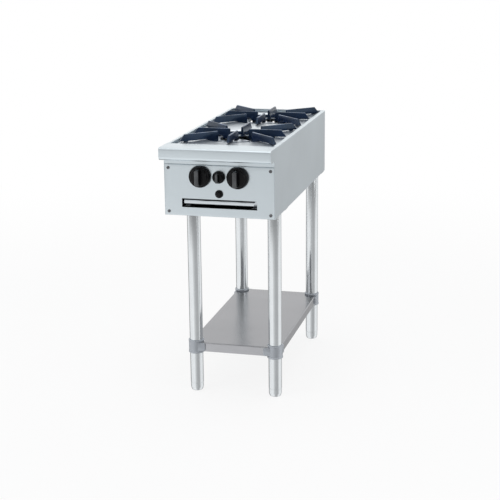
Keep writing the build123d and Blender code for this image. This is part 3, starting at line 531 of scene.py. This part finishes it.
class RangeFinishes(bpy.types.PropertyGroup):
    sheet: colour_property("Sheet", "Satin stainless of the cabinet", (0.69, 0.76, 0.80, 1))
    deck: colour_property("Deck", "Polished stainless of the deck and tray", (0.74, 0.79, 0.83, 1))
    tube: colour_property("Tube", "Bright stainless of the legs", (0.74, 0.77, 0.79, 1))
    plate: colour_property("Plate", "Zinc-plated inner parts", (0.55, 0.56, 0.58, 1))
    enamel: colour_property("Enamel", "Enamelled iron of the grates", (0.004, 0.011, 0.036, 1))
    # colour of the painted highlight on the grates' tops and edges
    enamel_highlight: colour_property("Enamel edge", "Where the enamel is rubbed", (0.20, 0.26, 0.38, 1))
    iron: colour_property("Iron", "Bare iron of the burner bodies", (0.22, 0.22, 0.23, 1))
    burner: colour_property("Burner", "Blasted metal of the burner heads", (0.62, 0.66, 0.72, 1))
    # darker than the deck's stainless: painted shade for the dim surroundings that the shelf reflects
    shelf: colour_property("Shelf", "Polished stainless of the undershelf", (0.48, 0.485, 0.505, 1))
    clamp: colour_property("Clamp", "Grey cast shelf clamps", (0.45, 0.48, 0.52, 1))
    knob: colour_property("Knob", "Black phenolic", (0.004, 0.004, 0.005, 1))
    brass: colour_property("Brass", "Valves and stems", (0.72, 0.52, 0.22, 1))
    pipe: colour_property("Pipe", "Black gas pipe", (0.055, 0.055, 0.06, 1))
    screw: colour_property("Screw", "Bright steel screws", (0.62, 0.63, 0.66, 1))


class RangeSizes(bpy.types.PropertyGroup):
    edge_round: size_property("Sheet edge", "Rounding of cut sheet edges", 0.35 * MM)
    cast_edge: size_property("Cast edge", "Rounding of the castings' edges", 1.3 * MM)
    knob_edge: size_property("Knob edge", "Rounding of the knobs' grips", 2.2 * MM)
    recess_depth: size_property("Recess depth", "Depth of the cross recess in a screw", 1.1 * MM)
    port_depth: size_property("Port depth", "Depth of a burner port", 2.5 * MM)


class RangeStudio(bpy.types.PropertyGroup):
    world_level: level_property("World", "Level of the soft surrounding light", 0.95)
    key_power: level_property("Key", "Power in watts of the large lamp at the left", 24.0)
    side_power: level_property("Side", "Power in watts of the low lamp at the right", 11.0)
    top_power: level_property("Top", "Power in watts of the lamp overhead", 9.0)
    floor: colour_property("Floor", "Pale floor", (0.86, 0.86, 0.87, 1))


# ---- sheet metal
class RANGE_OT_cabinet(bpy.types.Operator):
    """Give the cabinet's panels eased edges and a satin finish"""

    bl_idname = "gas_range.cabinet"
    bl_label = "Cabinet panels"

    def execute(self, context):
        finishes, sizes = context.scene.range_finishes, context.scene.range_sizes
        upright = satin_sheet("satin_upright", finishes.sheet)
        for node in ("front_control_panel", "side_panel_left", "side_panel_right", "back_panel"):
            wear_on(node, upright, sizes.edge_round)
        sideways = satin_sheet("satin_sideways", finishes.sheet, (0.02, 1, 1))
        wear_on("front_hood", sideways, 0.2 * MM)
        plated = machined("plated_sheet", finishes.plate, 0.36)
        for node in (
            "base_pan", "burner_rail_front", "burner_rail_rear", "tray_runner_left", "tray_runner_right"
        ):
            wear_on(node, plated)
        return {"FINISHED"}


class RANGE_OT_deck(bpy.types.Operator):
    """Polish the cooking deck with its two wells"""

    bl_idname = "gas_range.deck"
    bl_label = "Cooking deck"

    def execute(self, context):
        polish = polished_sheet("polished_deck", context.scene.range_finishes.deck, 0.3)
        wear_on("burner_deck", polish, 0)
        return {"FINISHED"}


class RANGE_OT_tray(bpy.types.Operator):
    """Polish the drip tray and ease its lip"""

    bl_idname = "gas_range.tray"
    bl_label = "Drip tray"

    def execute(self, context):
        polish = polished_sheet("polished_tray", context.scene.range_finishes.deck, 0.2)
        wear_on("drip_tray", polish, 0.15 * MM)
        return {"FINISHED"}


# ---- grates
RING_OUTER = 98.5 * MM
RING_WIDTH = 8.0 * MM
RING_HEIGHT = 8.0 * MM
RING_EDGE = 1.5 * MM
BLADE_TOP = 5.0 * MM  # thickness along the top
BLADE_ROOT = 10.0 * MM  # thickness at the lowest underside
BLADE_HEIGHT = 21.0 * MM  # top edge above the deck
BLADE_UNDER = 2.0 * MM
BLADE_DROP = 7.0 * MM  # low stretches below the deck
BLADE_SLOPE = 6.0 * MM
BLADE_NOSE = 14.0 * MM  # run of the sloping tip
BLADE_TOE = 1.5 * MM
STRAIGHT_INNER = 27.0 * MM
STRAIGHT_TIPS = (134.0 * MM, 128.0 * MM)
CORNER_INNER = 70.0 * MM
CORNER_TIP = (134.0 * MM, 132.0 * MM)
HOOK_RUN = 18.0 * MM
FOOT_RUN = 12.0 * MM
FOOT_GAP = 0.3 * MM


def blade_outline(inner, tip, deck, low_stretches, has_foot):
    """One blade from the side in (run, height), anticlockwise: low stretches, feet, sloping tip, flat top."""
    top, under, low = deck + BLADE_HEIGHT, deck + BLADE_UNDER, deck - BLADE_DROP
    corners = []  # run, height and radius, the radius in millimetres
    for start, end in low_stretches:
        if start > inner:
            corners.append((start - BLADE_SLOPE, under, 2.0))
        corners += [(start, low, 2.0), (end, low, 2.0), (end + BLADE_SLOPE, under, 2.0)]
    if has_foot:
        heel, toe, sole = tip - 2 * FOOT_RUN, tip - FOOT_RUN, deck + FOOT_GAP
        corners += [(heel, under, 0.5), (heel + MM, sole, 0.5), (toe - MM, sole, 0.5), (toe, under, 0.5)]
    corners += [(tip - 2 * BLADE_TOE, under, 1.0), (tip, under + BLADE_TOE, 1.2)]
    corners += [(tip - BLADE_NOSE, top, 2.5), (inner, top, 2.5)]
    corners = np.array(corners)
    return rounded(corners[:, :2], corners[:, 2] * MM, closed=True, steps=5)


def blade_rows(outline, edge, deck):
    """Outline carried across the blade: half the thickness falls evenly with the height, and towards each
    side the outline moves in along a quarter circle."""
    low, top = deck - BLADE_DROP, deck + BLADE_HEIGHT
    rim = round_edge(edge, edge, 0, 4)  # inset, and depth below the side
    rows = []
    for side, stations in ((-1, rim[::-1]), (1, rim)):
        for inset, depth in stations:
            shape = moved_in(outline, inset)
            lean = (shape[:, 1] - low) / (top - low)
            half = (BLADE_ROOT + (BLADE_TOP - BLADE_ROOT) * lean) / 2
            rows.append(np.column_stack([shape, side * (half - depth)]))
    return np.array(rows)


class RANGE_OT_grates(bpy.types.Operator):
    """Cast the two grates: a ring in each well with eight drafted blades"""

    bl_idname = "gas_range.grates"
    bl_label = "Grates"

    def execute(self, context):
        finishes, sizes = context.scene.range_finishes, context.scene.range_sizes
        top = box_of("grate_front")[1][2]
        enamel = enamelled_iron("enamelled_iron", finishes.enamel, finishes.enamel_highlight, top)
        for row in ("front", "rear"):
            wear(stand_for(self.grate(row, sizes.cast_edge), f"grate_{row}"), enamel)
        return {"FINISHED"}

    def grate(self, row, edge):
        low, high = box_of(f"grate_{row}")
        deck = high[2] - BLADE_HEIGHT
        here = standing(f"grate_{row}")
        inner = RING_OUTER - RING_WIDTH
        section = rectangle(inner, RING_OUTER, low[2], low[2] + RING_HEIGHT)
        ring = rounded(section, RING_EDGE, closed=True)
        casting = Shells().add(turned(ring, 128), here, loop=True)
        ring_end = RING_OUTER - RING_EDGE
        stretches = [(STRAIGHT_INNER, STRAIGHT_INNER + HOOK_RUN), (inner, ring_end)]
        straight = [blade_outline(STRAIGHT_INNER, tip, deck, stretches, False) for tip in STRAIGHT_TIPS]
        blades = [(quarter * math.pi / 2, straight[quarter % 2]) for quarter in range(4)]
        corner = blade_outline(CORNER_INNER, math.hypot(*CORNER_TIP), deck, [(CORNER_INNER, ring_end)], True)
        slant = math.atan2(CORNER_TIP[1], CORNER_TIP[0])
        blades += [(way, corner) for way in (slant, math.pi - slant, math.pi + slant, -slant)]
        upright = Matrix.Rotation(math.pi / 2, 4, "X")
        for way, side_view in blades:
            turn = here @ Matrix.Rotation(way, 4, "Z") @ upright
            casting.add(blade_rows(side_view, edge, deck), turn)
        return casting.piece(f"cast_grate_{row}")


# ---- burners
PORTS = 24
PORT_LOW = 7.6 * MM  # ends of the ports below the shoulder
PORT_HIGH = 2.2 * MM
PORT_POINTS = 10  # points round the drum for each port
HEAD_SPIGOT = 8.0 * MM
HEAD_SIDE = 13.6 * MM  # seat to shoulder
HEAD_LEVELS = 14
HEAD_BORE = 20.0 * MM
HEAD_WALL = 5.0 * MM
HEAD_CROWN = 18.0 * MM


def ported_drum(profile, port_low, port_high, depth):
    """Turned surface whose radius dips by the depth in each port: a soft square wave round the drum, within
    the port's height."""
    count = PORTS * PORT_POINTS
    grid = turned(profile, count)
    t = np.arange(count) * (2 * np.pi / count)
    wave = np.clip((np.cos(PORTS * t) - 0.35) * 6, 0, 1)
    height = grid[:, :1, 2]
    band = (height > port_low) & (height < port_high)
    radius = np.hypot(grid[..., 0], grid[..., 1])
    outer = radius > 0.85 * radius.max()
    factor = 1 - depth / np.maximum(radius, 1e-6) * wave[None, :] * band * outer
    grid[..., :2] *= factor[..., None]
    return grid


class RANGE_OT_burners(bpy.types.Operator):
    """Turn the ported burner heads and blast the castings below them"""

    bl_idname = "gas_range.burners"
    bl_label = "Burners"

    def execute(self, context):
        finishes, sizes = context.scene.range_finishes, context.scene.range_sizes
        blasted = rough_casting("blasted_head", finishes.burner, 0.85, 0.34)
        iron = rough_casting("bare_iron", finishes.iron, 0.6, 0.55, 0.002)
        tube = machined("pilot_tube", PILOT_TUBE, 0.3)
        for row in ("front", "rear"):
            wear(stand_for(self.head(row, sizes.port_depth), f"burner_head_{row}"), blasted)
            wear_on(f"burner_body_{row}", iron)
            wear_on(f"pilot_burner_{row}", tube)
            wear_on(f"pilot_tube_{row}", tube)
        return {"FINISHED"}

    def head(self, row, port_depth):
        low, high = box_of(f"burner_head_{row}")
        radius = (high[0] - low[0]) / 2
        inside, neck = radius - HEAD_WALL, HEAD_BORE + HEAD_WALL
        seat = low[2] + HEAD_SPIGOT
        shoulder = seat + HEAD_SIDE
        side = [(radius, level) for level in np.linspace(seat + 3 * MM, shoulder - MM, HEAD_LEVELS)]
        crown = rounded(
            [(radius, shoulder), (radius * 0.93, shoulder + 2.2 * MM), (HEAD_CROWN, high[2]), (0, high[2])],
            np.array([0, 4, 30, 0]) * MM,
            steps=8,
        )
        profile = [
            (HEAD_BORE, low[2]), (neck, low[2]), (neck, seat), (radius - 2.5 * MM, seat), *side, *crown,
            (0, shoulder), (inside, shoulder - 3 * MM), (inside, seat + HEAD_WALL),
            (HEAD_BORE, seat + HEAD_WALL),
        ]
        rows = ported_drum(profile, shoulder - PORT_LOW, shoulder - PORT_HIGH, port_depth)
        drum = Shells().add(rows, standing(f"burner_head_{row}"), loop=True)
        return drum.piece(f"ported_head_{row}")


# ---- controls
LARGE_KNOB = {
    "radius": 30 * MM, "skirt": 11 * MM, "step_radius": 23 * MM, "step": 5 * MM, "bore": 4.05 * MM,
    "bar": (47 * MM, 15 * MM, 20 * MM),  # length, width and height
}
SMALL_KNOB = {
    "radius": 17 * MM, "skirt": 8 * MM, "step_radius": 12.5 * MM, "step": 4 * MM, "bore": 3.05 * MM,
    "bar": (27 * MM, 9.5 * MM, 15 * MM),
}
KNOB_GAP = 2 * MM  # back of a knob to the panel
KNOB_DRAFT = 0.07  # slope of the grip's sides


def panel_place(x, z):
    """Frame on the control panel: local X right, Y up, Z out towards the cook."""
    face = box_of("front_control_panel")[0][1]
    return Matrix.Translation((x, face, z)) @ Matrix.Rotation(math.pi / 2, 4, "X")


def knob_shells(place, radius, skirt, step_radius, step, bar, bore, gap, edge):
    """Knob at a place: turned skirt and disc, and a bar grip with a rounded top edge. Sizes in metres."""
    length, width, height = bar
    top = gap + skirt + step
    profile = rounded(
        [
            (bore, gap), (radius, gap), (radius, gap + 0.35 * skirt), (radius * 0.93, gap + skirt),
            (step_radius + 1.5 * MM, gap + skirt), (step_radius, gap + skirt + 1.5 * MM), (step_radius, top),
            (bore, top),
        ],
        np.array([0, 1.0, 3.0, 2.2, 1.0, 1.0, 2.0, 0]) * MM,
        closed=True,
    )
    made = Shells().add(turned(profile, 96), place, loop=True)
    footprint = rectangle(-width / 2, width / 2, -length / 2, length / 2)
    grip = rounded(footprint, width * 0.42, closed=True, steps=10)
    crest = top + height
    taper = KNOB_DRAFT * (height + step)
    stations = [(0, gap + skirt * 0.6), *(round_edge(edge, crest - edge, crest, 6) + (taper, 0))]
    return made.add(pillow(grip, stations), place)


class RANGE_OT_knobs(bpy.types.Operator):
    """Mould the three bar knobs"""

    bl_idname = "gas_range.knobs"
    bl_label = "Knobs"

    def execute(self, context):
        finishes, sizes = context.scene.range_finishes, context.scene.range_sizes
        large = moulded("black_phenolic", finishes.knob, crest=box_of("knob_left")[0][1] + CREST)
        small = moulded("pilot_phenolic", finishes.knob, crest=box_of("pilot_knob")[0][1] + CREST)
        for node, form, phenolic in (
            ("knob_left", LARGE_KNOB, large),
            ("knob_right", LARGE_KNOB, large),
            ("pilot_knob", SMALL_KNOB, small),
        ):
            x, _, z = middle(node)
            shells = knob_shells(panel_place(x, z), gap=KNOB_GAP, edge=sizes.knob_edge, **form)
            wear(stand_for(shells.piece(f"{node}_moulding"), node), phenolic)
        return {"FINISHED"}


class RANGE_OT_igniter(bpy.types.Operator):
    """Mould the igniter's bezel and button, and finish its lead and electrode"""

    bl_idname = "gas_range.igniter"
    bl_label = "Igniter"

    def execute(self, context):
        finishes = context.scene.range_finishes
        plastic = moulded("igniter_plastic", finishes.knob, 0.42, 0.1)
        for node in ("igniter_body", "igniter_button"):
            wear_on(node, plastic, 0.2 * MM)
        wear_on("igniter_nut", plastic)
        wear_on("ignition_lead", soft_sleeve("silicone_sleeve", SLEEVE))
        wear_on("ignition_electrode", soft_sleeve("glazed_ceramic", CERAMIC, 0.15))
        return {"FINISHED"}


class RANGE_OT_pipework(bpy.types.Operator):
    """Finish the gas pipes and the brass valves, stems and injectors"""

    bl_idname = "gas_range.pipework"
    bl_label = "Gas pipes and valves"

    def execute(self, context):
        finishes = context.scene.range_finishes
        scale = black_pipe("black_pipe", finishes.pipe)
        wear_on("gas_manifold", scale)
        wear_on("gas_inlet_pipe", scale, 0)
        brass = machined("turned_brass", finishes.brass, 0.26)
        for node in (
            "valve_left", "valve_right", "pilot_valve", "valve_stem_left", "valve_stem_right",
            "pilot_valve_stem", "injectors",
        ):
            wear_on(node, brass)
        return {"FINISHED"}


# ---- stand
TUBE_WALL = 1.5 * MM
TUBE_LIP = 0.5 * MM
TUBE_GAP = 0.3 * MM  # end of a tube to its foot
SOLE_RADIUS = 15.5 * MM
SOLE_TAPER = 10.0 * MM
SHANK_RADIUS = 6.0 * MM
COLLAR_BORE = 19.15 * MM
COLLAR_WALL = 3.5 * MM
COLLAR_BEAD = 0.9 * MM
BEAD_HEIGHT = 4.0 * MM
WING_NEAR = 15.0 * MM  # inner face of a clamp's wing, from the leg's axis
WING_RUN = 31.0 * MM
WING_HALF = 12.0 * MM
WING_THICKNESS = 4.5 * MM
WING_EDGE = 1.2 * MM


class RANGE_OT_legs(bpy.types.Operator):
    """Draw the leg tubes and turn their feet"""

    bl_idname = "gas_range.legs"
    bl_label = "Legs and feet"

    def execute(self, context):
        tube = bright_tube("bright_tube", context.scene.range_finishes.tube)
        plated = machined("plated_mount", context.scene.range_finishes.plate, 0.36)
        for corner in CORNERS:
            wear(stand_for(self.leg(corner), f"leg_{corner}"), tube)
            wear(stand_for(self.foot(corner), f"foot_{corner}"), tube)
            wear_on(f"leg_mount_{corner}", plated)
        wear_on("foot_inserts", plated)
        return {"FINISHED"}

    def leg(self, corner):
        low, high = box_of(f"leg_{corner}")
        radius = (high[0] - low[0]) / 2
        section = rectangle(radius - TUBE_WALL, radius, low[2], high[2])
        rows = turned(rounded(section, TUBE_LIP, closed=True, steps=3), 96)
        return Shells().add(rows, standing(f"leg_{corner}"), loop=True).piece(f"tube_{corner}")

    def foot(self, corner):
        low, high = box_of(f"foot_{corner}")
        radius = (high[0] - low[0]) / 2
        top = box_of(f"leg_{corner}")[0][2] - TUBE_GAP
        profile = rounded(
            [
                (0, 0), (SOLE_RADIUS, 0), (radius, SOLE_TAPER), (radius, top),
                (SHANK_RADIUS, top), (SHANK_RADIUS, high[2]), (0, high[2]),
            ],
            np.array([0, 4, 9, 0.4, 0, 0.6, 0]) * MM,
            steps=10,
        )
        return Shells().add(turned(profile, 96), standing(f"foot_{corner}")).piece(f"tapered_foot_{corner}")


class RANGE_OT_shelf(bpy.types.Operator):
    """Polish the undershelf and cast its four clamps"""

    bl_idname = "gas_range.shelf"
    bl_label = "Undershelf and clamps"

    def execute(self, context):
        finishes, sizes = context.scene.range_finishes, context.scene.range_sizes
        top = box_of("undershelf")[1][2]
        # the shelf's top face gets painted shade, from just below its top up
        polish = polished_sheet("polished_shelf", finishes.shelf, 0.2, painted_shade_level=top - 0.4 * MM)
        wear_on("undershelf", polish, sizes.edge_round)
        grey = rough_casting("grey_casting", finishes.clamp, 0.7, 0.38)
        for corner in CORNERS:
            wear(stand_for(self.clamp(corner), f"shelf_clamp_{corner}"), grey)
        return {"FINISHED"}

    def clamp(self, corner):
        """Turned collar with a bead at each end, and two plates whose corners and edges are rounded."""
        low, high = box_of(f"shelf_clamp_{corner}")
        side, end = outwards(corner)
        bore, outer = COLLAR_BORE, COLLAR_BORE + COLLAR_WALL
        waist = outer - COLLAR_BEAD
        foot, head = low[2] + BEAD_HEIGHT, high[2] - BEAD_HEIGHT
        collar = rounded(
            [
                (bore, low[2]), (outer, low[2]), (outer, foot), (waist, foot + MM),
                (waist, head - MM), (outer, head), (outer, high[2]), (bore, high[2]),
            ],
            np.array([0.3, 1.6, 0.8, 0.8, 0.8, 0.8, 1.6, 0.3]) * MM,
            closed=True,
            steps=4,
        )
        here = standing(f"leg_{corner}")
        made = Shells().add(turned(collar, 72), here, loop=True)
        level = middle("undershelf")[2]
        plate = rectangle(0, WING_RUN, level - WING_HALF, level + WING_HALF)
        rim = round_edge(WING_EDGE, WING_THICKNESS - WING_EDGE, WING_THICKNESS, 3)
        wing = pillow(rounded(plate, np.array([1, 5, 5, 1]) * MM, closed=True), [(0, 0), *rim])
        for along, out in (((-side, 0, 0), (0, end, 0)), ((0, -end, 0), (side, 0, 0))):
            turn = Matrix((along, (0, 0, 1), out)).transposed().to_4x4()
            made.add(wing, here @ Matrix.Translation(Vector(out) * WING_NEAR) @ turn)
        return made.piece(f"cast_clamp_{corner}")


# ---- fasteners
SCREW_HEAD = 4.5 * MM  # radius
SCREW_HEIGHT = 2.6 * MM
SCREW_SHANK = 2.2 * MM
PANEL_REACH = 10.0 * MM  # shanks behind the heads
CLAMP_REACH = 4.7 * MM
CLAMP_OUT = 13.8 * MM  # clamp screws from the leg's axis, outwards and along the wing
CLAMP_ALONG = 27.0 * MM


def cross_head(recess):
    """Pan head with a cross recess: height(r) is a flattened dome, less the recess where the point is near
    either arm's line and within its length."""
    count, rings = 48, 16
    radius, height = SCREW_HEAD, SCREW_HEIGHT
    r = np.linspace(1, 0, rings)[:, None] * radius
    t = np.arange(count) * (2 * np.pi / count)
    x, y = r * np.cos(t), r * np.sin(t)
    dome = height * (1 - (r / radius) ** 4 * 0.55) + 0 * t
    arm, half = 0.16 * radius, 0.58 * radius
    near = np.minimum(abs(x), abs(y))
    far = np.maximum(abs(x), abs(y))
    dip = np.clip((arm * 1.5 - near) / (arm * 0.6), 0, 1) * np.clip((half - far) / (half * 0.2), 0, 1)
    top = np.stack([x, y, dome - recess * dip], axis=-1)
    skirt = np.stack([x[:1], y[:1], 0 * x[:1]], axis=-1)
    return np.concatenate([skirt, top])


class RANGE_OT_screws(bpy.types.Operator):
    """Set the cross-headed screws of the control panel and of the shelf clamps"""

    bl_idname = "gas_range.screws"
    bl_label = "Screws"

    def execute(self, context):
        finishes, sizes = context.scene.range_finishes, context.scene.range_sizes
        steel = machined("bright_screw", finishes.screw, 0.24)
        dull = machined("dull_screw", shade(finishes.screw, 0.35), 0.4)
        wear(stand_for(self.panel_set(sizes.recess_depth), "panel_screws"), dull)
        wear(stand_for(self.clamp_set(sizes.recess_depth), "clamp_screws"), steel)
        wear_on("socket_bolts", steel)
        return {"FINISHED"}

    def screw(self, made, place, recess, shank):
        """Head on the surface and a shank behind it. The place's Z points out of the surface."""
        made.add(cross_head(recess), place)
        made.add(turned([(SCREW_SHANK, -shank), (SCREW_SHANK, 0.2 * MM)], 24), place)

    def panel_set(self, recess):
        """Screws at the panel's corners, each stopped at an angle of its own."""
        made = Shells()
        low, high = box_of("panel_screws")
        for x in (low[0] + SCREW_HEAD, high[0] - SCREW_HEAD):
            for z in (low[2] + SCREW_HEAD, high[2] - SCREW_HEAD):
                turn = Matrix.Rotation(math.radians(20 + 900 * x + 400 * z), 4, "Z")
                self.screw(made, panel_place(x, z) @ turn, recess, PANEL_REACH)
        return made.piece("panel_screw_heads")

    def clamp_set(self, recess):
        """Screws from inside the shelf's folded edges out into the clamps' wings."""
        made = Shells()
        level = middle("undershelf")[2]
        for corner in CORNERS:
            x, y = middle(f"leg_{corner}")[:2]
            side, end = outwards(corner)
            for start, way in (
                ((x - side * CLAMP_ALONG, y + end * CLAMP_OUT, level), (0, -end, 0)),
                ((x + side * CLAMP_OUT, y - end * CLAMP_ALONG, level), (-side, 0, 0)),
            ):
                turn = Vector(way).to_track_quat("Z", "Y").to_matrix().to_4x4()
                self.screw(made, Matrix.Translation(start) @ turn, recess, CLAMP_REACH)
        return made.piece("clamp_screw_heads")


# ---- studio
PHOTO_SIZE = 500.0
CAMERA_PLACE = (0.8741, -3.4003, 1.3152)
CAMERA_YAW = 14.39
CAMERA_PITCH = 15.03
CAMERA_ROLL = 0.59
FOCAL_PIXELS = 1224.5
PICTURE_CENTRE = (251.3, 251.7)
AHEAD = (0.24, -0.97)  # level direction from the range to the camera side of the studio


def camera_turn():
    """Axes from yaw to the left, pitch down and roll: right, up and back."""
    yaw, pitch, roll = (math.radians(a) for a in (CAMERA_YAW, CAMERA_PITCH, CAMERA_ROLL))
    forward = Vector((-math.sin(yaw) * math.cos(pitch), math.cos(yaw) * math.cos(pitch), -math.sin(pitch)))
    level = Vector((math.cos(yaw), math.sin(yaw), 0))
    down = forward.cross(level)
    right = math.cos(roll) * level + math.sin(roll) * down
    up = math.sin(roll) * level - math.cos(roll) * down
    return Matrix((right, up, -forward)).transposed()


# degrees from the camera's side, positive to the right, and brightness of the studio below the horizon
TONES = (
    (-180, 0.3), (-166, 0.08), (-134, 0.08), (-122, 1.0), (-38, 1.1), (-24, 0.74), (0, 0.45),
    (15, 0.36), (50, 0.36), (68, 1.0), (122, 1.0), (138, 0.37), (170, 0.3), (180, 0.3),
)
# place, target and size in metres
LAMPS = {
    "key": ((-2.6, -2.4, 2.3), (0, 0, 0.5), (1.8, 2.2)),
    "side": ((2.7, -0.8, 1.2), (0, 0, 0.75), (2.0, 1.3)),
    "top": ((0.1, -0.4, 3.0), (0, 0, 0.5), (1.6, 2.0)),
}
MIRROR_WHITE = 0.1  # white that metal sees all round
MIRROR_OPEN = 0.9  # share of the floor through which metal sees the studio's tones
FLOOR_RADIUS = 60.0
FLOOR_POINTS = 96


def ray_kinds(made):
    """Rays of the camera, of reflections and through glass."""
    rays = made.tree.nodes.new("ShaderNodeLightPath").outputs
    return [Wire(made, rays[kind]) for kind in ("Is Camera Ray", "Is Glossy Ray", "Is Transmission Ray")]


def surroundings(made, way):
    """Brightness of the studio by direction: below the horizon from the tones, above it dim on the camera's
    side and white on the far side."""
    across, depth, up = (made.add("ShaderNodeSeparateXYZ", {}, {0: way}, axis) for axis in range(3))
    ahead = across * AHEAD[0] + depth * AHEAD[1]
    aside = depth * AHEAD[0] - across * AHEAD[1]
    turn = made.maths("ARCTAN2", aside, ahead) / (2 * math.pi) + 0.5
    below = made.graded(turn, [((angle + 180) / 360, level) for angle, level in TONES])
    facing = ahead.ramp(-0.25, 0.35)
    above = up.ramp(0.05, 0.7, 0.22, 0.8) * facing + up.ramp(0.3, 0.9, 1.0, 0.8) * (1.0 - facing)
    high = up.ramp(-0.16, 0.0)
    return below * (1.0 - high) + above * high


class RANGE_OT_studio(bpy.types.Operator):
    """Set the floor, the soft surrounding light, the lamps and the camera"""

    bl_idname = "gas_range.studio"
    bl_label = "Studio"

    def execute(self, context):
        studio = context.scene.range_studio
        context.scene.view_settings.view_transform = "Standard"
        self.world(context.scene, studio.world_level)
        self.floor(studio.floor)
        for name, (place, target, size) in LAMPS.items():
            self.lamp(name, place, target, size, getattr(studio, f"{name}_power"))
        self.camera(context.scene)
        return {"FINISHED"}

    def world(self, scene, level):
        """White to the camera. To the object: brighter above and at the sides, dimmer ahead and behind."""
        world = bpy.data.worlds.new("studio")
        scene.world = world
        world.use_nodes = True
        made = Finish(world.node_tree)
        made.tree.nodes.clear()
        soft = surroundings(made, made.add("ShaderNodeTexCoord"))
        seen, mirrored, through = ray_kinds(made)
        lighting = soft * level + (mirrored + through).limited() * MIRROR_WHITE
        strength = made.add("ShaderNodeMix", {"data_type": "FLOAT"}, {0: seen, 2: lighting, 3: 1.0})
        sky = made.add("ShaderNodeBackground", {}, {"Color": (1, 1, 1, 1), "Strength": strength})
        output = made.tree.nodes.new("ShaderNodeOutputWorld")
        made.tree.links.new(sky.socket, output.inputs["Surface"])

    def floor(self, colour):
        """Flat disc out to the horizon. The camera sees it mixed with white, with the object's shadow kept.
        Metal sees mostly the studio's own tones through it."""
        t = np.arange(FLOOR_POINTS) * (2 * np.pi / FLOOR_POINTS)
        ring = np.column_stack([FLOOR_RADIUS * np.cos(t), FLOOR_RADIUS * np.sin(t), 0 * t])
        mesh = bpy.data.meshes.new("floor")
        mesh.from_pydata(ring, [], [list(range(FLOOR_POINTS))])
        floor = linked("floor", mesh)
        pale = Material("pale_floor", {"Base Color": tuple(colour), "Roughness": 0.9})
        seen, mirrored, through = ray_kinds(pale)
        white = pale.add("ShaderNodeEmission", {}, {"Color": (1, 1, 1, 1), "Strength": 1.0})
        open_to_studio = pale.add("ShaderNodeBsdfTransparent")
        toned = pale.mix(mirrored * MIRROR_OPEN, Wire(pale, pale.shader.outputs[0]), open_to_studio)
        away = pale.add("ShaderNodeVectorMath", {"operation": "LENGTH"}, {0: pale.here()}, output=1)
        share = seen * away.ramp(0.8, 3.0, 0.85, 1.0) + (mirrored + through).limited() * MIRROR_WHITE
        both = pale.mix(share.limited(), toned, white)
        pale.tree.links.new(both.socket, pale.output.inputs[0])
        wear(floor, pale.material)

    def lamp(self, name, place, target, size, power):
        light = bpy.data.lights.new(name, "AREA")
        light.shape = "RECTANGLE"
        light.size, light.size_y = size
        light.energy = power
        lamp = linked(name, light)
        lamp.location = place
        lamp.rotation_euler = (Vector(target) - Vector(place)).to_track_quat("-Z", "Y").to_euler()

    def camera(self, scene):
        data = bpy.data.cameras.new("camera")
        data.sensor_width = 36.0
        data.lens = FOCAL_PIXELS / PHOTO_SIZE * data.sensor_width
        data.shift_x = (PHOTO_SIZE / 2 - PICTURE_CENTRE[0]) / PHOTO_SIZE
        data.shift_y = (PICTURE_CENTRE[1] - PHOTO_SIZE / 2) / PHOTO_SIZE
        camera = linked("camera", data)
        camera.matrix_world = Matrix.Translation(CAMERA_PLACE) @ camera_turn().to_4x4()
        scene.camera = camera


class RANGE_PT_panel(bpy.types.Panel):
    """Lists the range's pieces and settings"""

    bl_idname = "RANGE_PT_panel"
    bl_label = "Two-burner range"
    bl_space_type = "VIEW_3D"
    bl_region_type = "UI"
    bl_category = "Range"

    def draw(self, context):
        for step in STEPS:
            self.layout.operator(step.bl_idname)
        for group in (context.scene.range_finishes, context.scene.range_sizes, context.scene.range_studio):
            column = self.layout.column()
            for name in group.__annotations__:
                column.prop(group, name)


STEPS = (
    RANGE_OT_cabinet, RANGE_OT_deck, RANGE_OT_tray, RANGE_OT_grates, RANGE_OT_burners, RANGE_OT_knobs,
    RANGE_OT_igniter, RANGE_OT_pipework, RANGE_OT_legs, RANGE_OT_shelf, RANGE_OT_screws, RANGE_OT_studio,
)
GROUPS = {"range_finishes": RangeFinishes, "range_sizes": RangeSizes, "range_studio": RangeStudio}


def register():
    for kind in (*GROUPS.values(), *STEPS, RANGE_PT_panel):
        bpy.utils.register_class(kind)
    for name, group in GROUPS.items():
        setattr(bpy.types.Scene, name, bpy.props.PointerProperty(type=group))


def unregister():
    for name in GROUPS:
        delattr(bpy.types.Scene, name)
    for kind in (RANGE_PT_panel, *reversed(STEPS), *reversed(GROUPS.values())):
        bpy.utils.unregister_class(kind)


def main():
    register()
    for step in STEPS:
        module, name = step.bl_idname.split(".")
        getattr(getattr(bpy.ops, module), name)()


if __name__ == "__main__":
    main()
